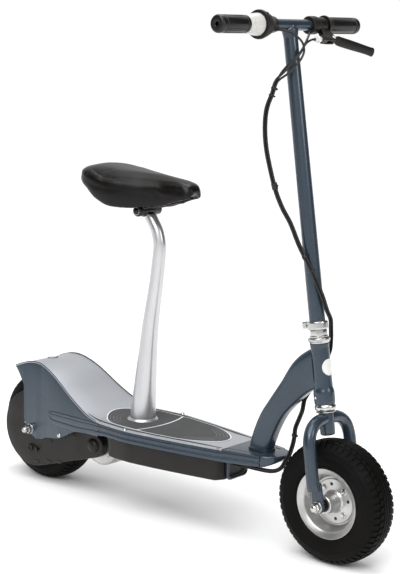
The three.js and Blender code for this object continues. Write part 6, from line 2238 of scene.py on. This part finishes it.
@dataclass(frozen=True)
class PowerPack:
    """The battery case, its hanger, the motor, the chain, the sprockets and the guard."""

    case_rear: float = -142.0
    shoulder: float = 140.0
    case_front: float = 150.0
    front_half: float = 35.0
    case_low: float = 118.0
    case_high: float = 163.7
    motor_x: float = -207.0
    motor_z: float = 124.5
    pitch: float = 6.35
    wheel_teeth: int = 55
    motor_teeth: int = 11

    SIDE = Matrix(((1, 0, 0, 0), (0, 0, -1, 0), (0, 1, 0, 0), (0, 0, 0, 1)))

    def build(self) -> None:
        """Builds the pack from the case back to the wheel."""
        self._case()
        self._hanger()
        self._motor()
        self._drive()
        self._guard()

    def _side(self, y: float) -> Matrix:
        """A frame whose X and Y lie along the scooter and up, and whose Z points out to the right."""
        return Matrix.Translation((0, y, 0)) @ self.SIDE

    def _case(self) -> None:
        """Builds the open case with rounded lower edges."""

        def ring(inset: float, level: float) -> list[Vector]:
            """Draws the case's outline.

            Args:
                inset: How far it is drawn in.
                level: Its height over the case's underside.

            Returns:
                The outline's points.
            """
            side = []
            for i in range(25):
                x = self.case_rear + inset + (self.shoulder - self.case_rear - 2 * inset) * i / 24
                side.append((x, DECK.half(x) - 8 - inset))
            side.append((self.case_front - inset, self.front_half - inset))
            whole = side + [(x, -y) for x, y in reversed(side)]
            last = len(side) - 1
            corners = {0: 6.0, last - 1: 7.0, last: 3.5}
            corners.update({len(whole) - 1 - k: r for k, r in list(corners.items())})
            marked = [(*p, corners[i]) if i in corners else p for i, p in enumerate(whole)]
            places = rounded(marked, 5, closed=True)
            return [Vector((p.x, p.y, self.case_low + level)) for p in places]

        form = Form()
        tall = self.case_high - self.case_low
        outer = [ring(*at) for at in ((0.0, tall), (0.0, 4), (0.7, 1.8), (2.0, 0.5), (4.0, 0))]
        inner = [ring(*at) for at in ((4.2, 3), (3.0, 4), (3.0, tall))]
        for rings in (outer, inner, [outer[0], inner[-1]]):
            form.loft(rings, caps=False)
        form.weld()
        rims = [edge for edge in form.mesh.edges if edge.is_boundary]
        bmesh.ops.holes_fill(form.mesh, edges=rims, sides=0)
        form.done("battery_case_smooth", "frame", [PLASTIC], ["battery_case"], sharp=35)

    @staticmethod
    def _hanger() -> None:
        """Builds the bent rod that hangs from the nose ahead of the case."""
        x, top, low, half, bend = 154.2, 163.7, 119.7, 31.0, 9.0
        leg = [(x, -half, top + 2), (x, -half, top - 12), (x, -half, low + bend),
               (x, -half + bend * 0.3, low + bend * 0.3), (x, -half + bend, low)]
        points = leg + [(x, 0, low)] + [(px, -py, pz) for px, py, pz in reversed(leg)]
        form = Form()
        form.tube(Route(points, 8), 3.0, 20)
        form.done("case_hanger_smooth", "frame", [PAINT], ["case_hanger"])

    def _motor(self) -> None:
        """Builds the motor's can with its end caps, screws and shaft."""
        axis = across_y(self.motor_x, self.motor_z)
        form = Form()
        form.turned(rounded([
            (0, -56), (4, -56, 0.5), (4, -43), (12, -43), (13, -41.6, 0.6), (44, -41.6, 2), (48.4, -39, 2),
            (49.6, -34, 2), (49.6, -24, 0.6), (48.6, -23, 0.5), (48.6, -21.6, 0.5), (50, -20.6, 0.5),
            (50, 33, 0.5), (48.8, 34, 0.4), (48.8, 35.4, 0.4), (49.6, 36.2, 0.4), (49.4, 47, 2),
            (46, 52.6, 3), (0, 53),
        ]), axis, 96)
        form.finish_index = 1
        for level, facing in ((-41.6, -1), (52.8, 1)):
            for x, z in circle(4, 38, math.pi / 4):
                form.screw(outward(self.motor_x + x, level, self.motor_z + z, facing), 3.6, 1.8)
        form.done("motor_smooth", "frame", [ALLOY, BRIGHT], ["motor"])

    def _teeth(self, teeth: int) -> list[Vector]:
        """Draws a sprocket's outline with rounded gaps between its teeth.

        Args:
            teeth: How many teeth it has.

        Returns:
            The outline's points.
        """
        radius = self.pitch / (2 * math.sin(math.pi / teeth))
        points = []
        for k in range(teeth * 6):
            share = (k % 6) / 6
            r = radius - 1.2 + 1.2 * math.cos(share * math.tau)
            turn = k * math.tau / (teeth * 6)
            points.append(Vector((r * math.cos(turn), r * math.sin(turn))))
        return points

    def _drive(self) -> None:
        """Builds the two sprockets and the chain."""
        wheel = Form()
        axis = Matrix.Translation((REAR_X, AXLE_Z, 0))
        wheel.plate(self._teeth(self.wheel_teeth), 46.9, 49.1, self._side(0) @ axis)
        hub = across_y(REAR_X, AXLE_Z)
        boss = [(9.3, -42.3), (19, -42.3, 1), (19, -50, 1), (9.3, -50)]
        wheel.turned(rounded(boss), hub, 48, closed=True)
        # Dark discs on the sprocket's face stand for its five holes: painted shade, not openings.
        wheel.finish_index = 1
        for x, z in circle(5, 30):
            seat = outward(REAR_X + x, -49.1, AXLE_Z + z, -1)
            wheel.turned(rounded([(9.4, 0), (9.4, 0.3, 0.1), (8.6, 0.5), (0, 0.5)]), seat, 24)
        wheel.done("wheel_sprocket_smooth", "rear_wheel", [DRIVE, SEAL_AND_HOLE_SHADE], ["wheel_sprocket"])
        small = Form()
        axis = Matrix.Translation((self.motor_x, self.motor_z, 0))
        small.plate(self._teeth(self.motor_teeth), 46.9, 49.1, self._side(0) @ axis)
        small.turned(rounded([(4.3, -46.4), (7.4, -46.4, 0.6), (7.4, -49.9, 0.6), (4.3, -49.9)]),
                     across_y(self.motor_x, self.motor_z), 32, closed=True)
        small.done("motor_sprocket_smooth", "motor_shaft", [DRIVE], ["motor_sprocket"])
        self._chain()

    def _chain(self) -> None:
        """Builds the chain's links round both sprockets."""
        big, little = (self.pitch / (2 * math.sin(math.pi / n))
                       for n in (self.wheel_teeth, self.motor_teeth))
        loop = belt(REAR_X, AXLE_Z, big, self.motor_x, self.motor_z, little, 60)
        lengths = [0.0]
        whole = [*loop, loop[0]]
        for a, b in zip(whole, whole[1:]):
            lengths.append(lengths[-1] + (b - a).length)
        count = round(lengths[-1] / self.pitch)
        count -= count % 2

        def place(k: int) -> Vector:
            """A pin's place along the chain's loop."""
            target = (k % count) * lengths[-1] / count
            i = next(j for j in range(1, len(lengths)) if lengths[j] >= target)
            return whole[i - 1].lerp(whole[i], (target - lengths[i - 1]) / (lengths[i] - lengths[i - 1]))

        form = Form()
        for k in range(count):
            a, b = place(k), place(k + 1)
            ahead = (b - a).normalized()
            aside = Vector((-ahead.y, ahead.x))
            outline = []
            for centre, start in ((b, -0.5), (a, 0.5)):
                for step in range(5):
                    turn = math.pi * (start + step / 4)
                    outline.append(centre + ahead * 2.5 * math.cos(turn) + aside * 2.5 * math.sin(turn))
            levels = (46.0, 46.7) if k % 2 else (46.7, 47.4)
            for low, high in (levels, (96 - levels[1], 96 - levels[0])):
                form.plate(outline, low, high, self._side(0))
        form.done("drive_chain_links", "frame", [CHAIN], ["drive_chain"])

    def _guard(self) -> None:
        """Builds the chain guard: a hollow shell with a domed front, a lug, slots drawn as dark plates of
        painted shade in raised rims, and screws.
        """
        sheet, out_y, in_y = 2.5, 62.2, 45.5
        levels = [(0, in_y), (0, out_y - 4), (0.5, out_y - 2), (1.6, out_y - 0.6), (3.4, out_y)]

        def ring(inset: float, level: float) -> list[Vector]:
            """The guard's outline, drawn in by the inset, at a distance out."""
            loop = belt(REAR_X, AXLE_Z, 88 - inset, self.motor_x, self.motor_z, 28 - inset, 40)
            return [Vector((p.x, -level, p.y)) for p in loop]

        form = Form()
        outer = [ring(inset, level) for inset, level in levels]
        form.loft([*outer, *self._faced(outer[-1])], caps=False)
        inner = [ring(sheet, in_y), ring(sheet, out_y - 4), ring(sheet + 2, out_y - sheet)]
        form.loft([*inner, *self._faced(inner[-1])], caps=False)
        form.loft([outer[0], inner[0]], caps=False)
        hole = [f for f in form.mesh.faces if self._in_hole(f)]
        bmesh.ops.delete(form.mesh, geom=hole, context="FACES")
        form.turned(rounded([(14.2, -62.3), (16.4, -62.3, 0.5), (16.4, -59.7), (14.2, -59.7)]),
                    across_y(REAR_X, AXLE_Z), 48, closed=True)
        dome = [(16.5, -1.5), (16.2, 1.2), (15, 3.9), (12.6, 6.5), (9.2, 8.5), (5, 9.8), (0, 10.3)]
        form.turned(dome, outward(self.motor_x, -(out_y - 0.6), self.motor_z, -1), 48)
        lug = outward(-406, -(out_y - 1), 80, -1)
        form.turned(rounded([(10.4, -1), (10.4, 0.4, 0.3), (8.6, 1.2, 0.6), (8, 7.2, 1.2), (5.6, 7.8, 0.8),
                             (4.6, 5.6), (0, 5.2)]), lug, 36)
        web = [(-400, 72.6), (-400, 87.4), (-382, 80.4, 2), (-382, 79.6, 2)]
        form.plate(rounded(web, 3, True), out_y - 1, out_y + 3.2, self._side(0), bevel=1)
        form.finish_index = 1
        for x, z in ((-342, 107), (-267, 134), (-404, 108)):
            form.screw(outward(x, -out_y, z, -1), 4.2, 1.5)
        # Each slot is a dark plate of painted shade inside a raised rim, not an opening.
        form.finish_index = 2
        for x, z, wide in ((-389, 50, 7.5), (-350, 57.5, 7.5), (-316, 63.5, 6.5)):
            slot = [(x - wide, z - 2.6, 2), (x + wide, z - 1.6, 2),
                    (x + wide, z + 2.6, 2), (x - wide, z + 1.6, 2)]
            rim = [(px + math.copysign(1.5, px - x), pz + math.copysign(1.5, pz - z), 2.6)
                   for px, pz, _ in slot]
            form.finish_index = 0
            form.plate(rounded(rim, 3, True), out_y - 0.5, out_y + 1.0, self._side(0), bevel=0.6)
            form.finish_index = 2
            form.plate(rounded(slot, 3, True), out_y - 0.5, out_y + 1.1, self._side(0))
        form.done("chain_guard_smooth", "frame", [PLASTIC, BLACK_STEEL, SEAL_AND_HOLE_SHADE], ["chain_guard"], sharp=35)

    def _faced(self, ring: list[Vector]) -> list[list[Vector]]:
        """Closes a belt's side with smaller rings that end in a line between its centres.

        Args:
            ring: The belt's outline.

        Returns:
            The smaller rings, from the outline in.
        """
        rows = []
        for share in (0.7, 0.35, 0.0):
            row = []
            for p in ring:
                t = min(max((p.x - REAR_X) / (self.motor_x - REAR_X), 0.0), 1.0)
                core = Vector((REAR_X + (self.motor_x - REAR_X) * t, p.y,
                               AXLE_Z + (self.motor_z - AXLE_Z) * t))
                row.append(core.lerp(p, share))
            rows.append(row)
        return rows

    @staticmethod
    def _in_hole(face: bmesh.types.BMFace) -> bool:
        """Whether a face of the guard's side lies in the axle's hole."""
        centre = face.calc_center_median()
        return (centre.xz - Vector((REAR_X, AXLE_Z))).length < 14


# Brake


@dataclass(frozen=True)
class Brake:
    """The band brake on the rear wheel's left side."""

    drum_radius: float = 38.0
    arm_reach: float = 38.0

    def build(self) -> None:
        """Builds the drum, the band and the arm."""
        axis = across_y(REAR_X, AXLE_Z)
        drum = Form()
        outer, inner = self.drum_radius, self.drum_radius - 3
        drum.turned(rounded([
            (9.4, 42.4), (outer, 42.4, 0.8), (outer, 57, 0.8), (inner, 57, 0.8), (inner, 45.4, 1),
            (9.4, 45.4),
        ]), axis, 80, closed=True)
        drum.done("brake_drum_smooth", "rear_wheel", [DRIVE], ["brake_drum"])
        band = Form()
        gap = math.tau * 0.06
        outline = []
        for radius, order in ((40.6, 1), (38.6, -1)):
            for k in range(49)[::order]:
                turn = gap + (math.tau - 2 * gap) * k / 48
                outline.append((REAR_X + radius * math.cos(turn), AXLE_Z + radius * math.sin(turn)))
        side = Matrix(((1, 0, 0, 0), (0, 0, 1, 0), (0, 1, 0, 0), (0, 0, 0, 1)))
        band.plate(outline, 42.7, 56.6, side, bevel=0.4, segments=2)
        x, z = REAR_X + 39.6 * math.cos(gap), AXLE_Z - 40.6 * math.sin(gap)
        band.block((x, 43, z - 1.6), (x + 8, 62.2, z + 1), bevel=0.5)
        band.done("brake_band_smooth", "frame", [DRIVE], ["brake_band"])
        arm = Form()
        x, z = BRAKE_PIVOT
        lean = math.radians(60)
        tip = (x + self.arm_reach * math.cos(lean), z + self.arm_reach * math.sin(lean))
        far = DECK.half(-360) - 3.5 - 0.6
        arm.plate(belt(x, z, 8, *tip, 5), far - 3, far, side, bevel=0.6, segments=2)
        eye = outward(x, far - 4.4, z, 1)
        arm.turned(rounded([(4.3, 0), (6.6, 0, 0.4), (6.6, 1.5), (4.3, 1.5)]), eye, 28, closed=True)
        arm.done("brake_arm_smooth", "band_arm", [DRIVE], ["brake_arm"])


def dress_hidden(frame: dict) -> None:
    """Gives the drawn nodes that stay in the scene their finishes.
    """
    finishes = {
        "motor_mount": PAINT, "battery_rear": SHELL, "battery_front": SHELL, "controller": ALLOY,
    }
    for name, finish in finishes.items():
        piece = frame["nodes"][name]
        piece = bpy.data.objects[piece] if isinstance(piece, str) else piece
        for slot in piece.material_slots:
            slot.material = finish.material()
        if not piece.material_slots:
            piece.data.materials.append(finish.material())


def main() -> None:
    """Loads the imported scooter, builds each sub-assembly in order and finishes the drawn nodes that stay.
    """
    logging.basicConfig(level=logging.INFO, format="%(message)s")
    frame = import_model()
    Studio().build()
    assemblies = (
        Cables(), Wheel("front", "front_wheel", FRONT_X, 53.7), Wheel("rear", "rear_wheel", REAR_X, 62.2),
        Axles(), Column(), Controls(), DeckFrame(), Tail(), Seat(), PowerPack(), Brake(),
    )
    for assembly in assemblies:
        assembly.build()
        LOG.info("built %s", type(assembly).__name__)
    dress_hidden(frame)


if __name__ == "__main__":
    main()
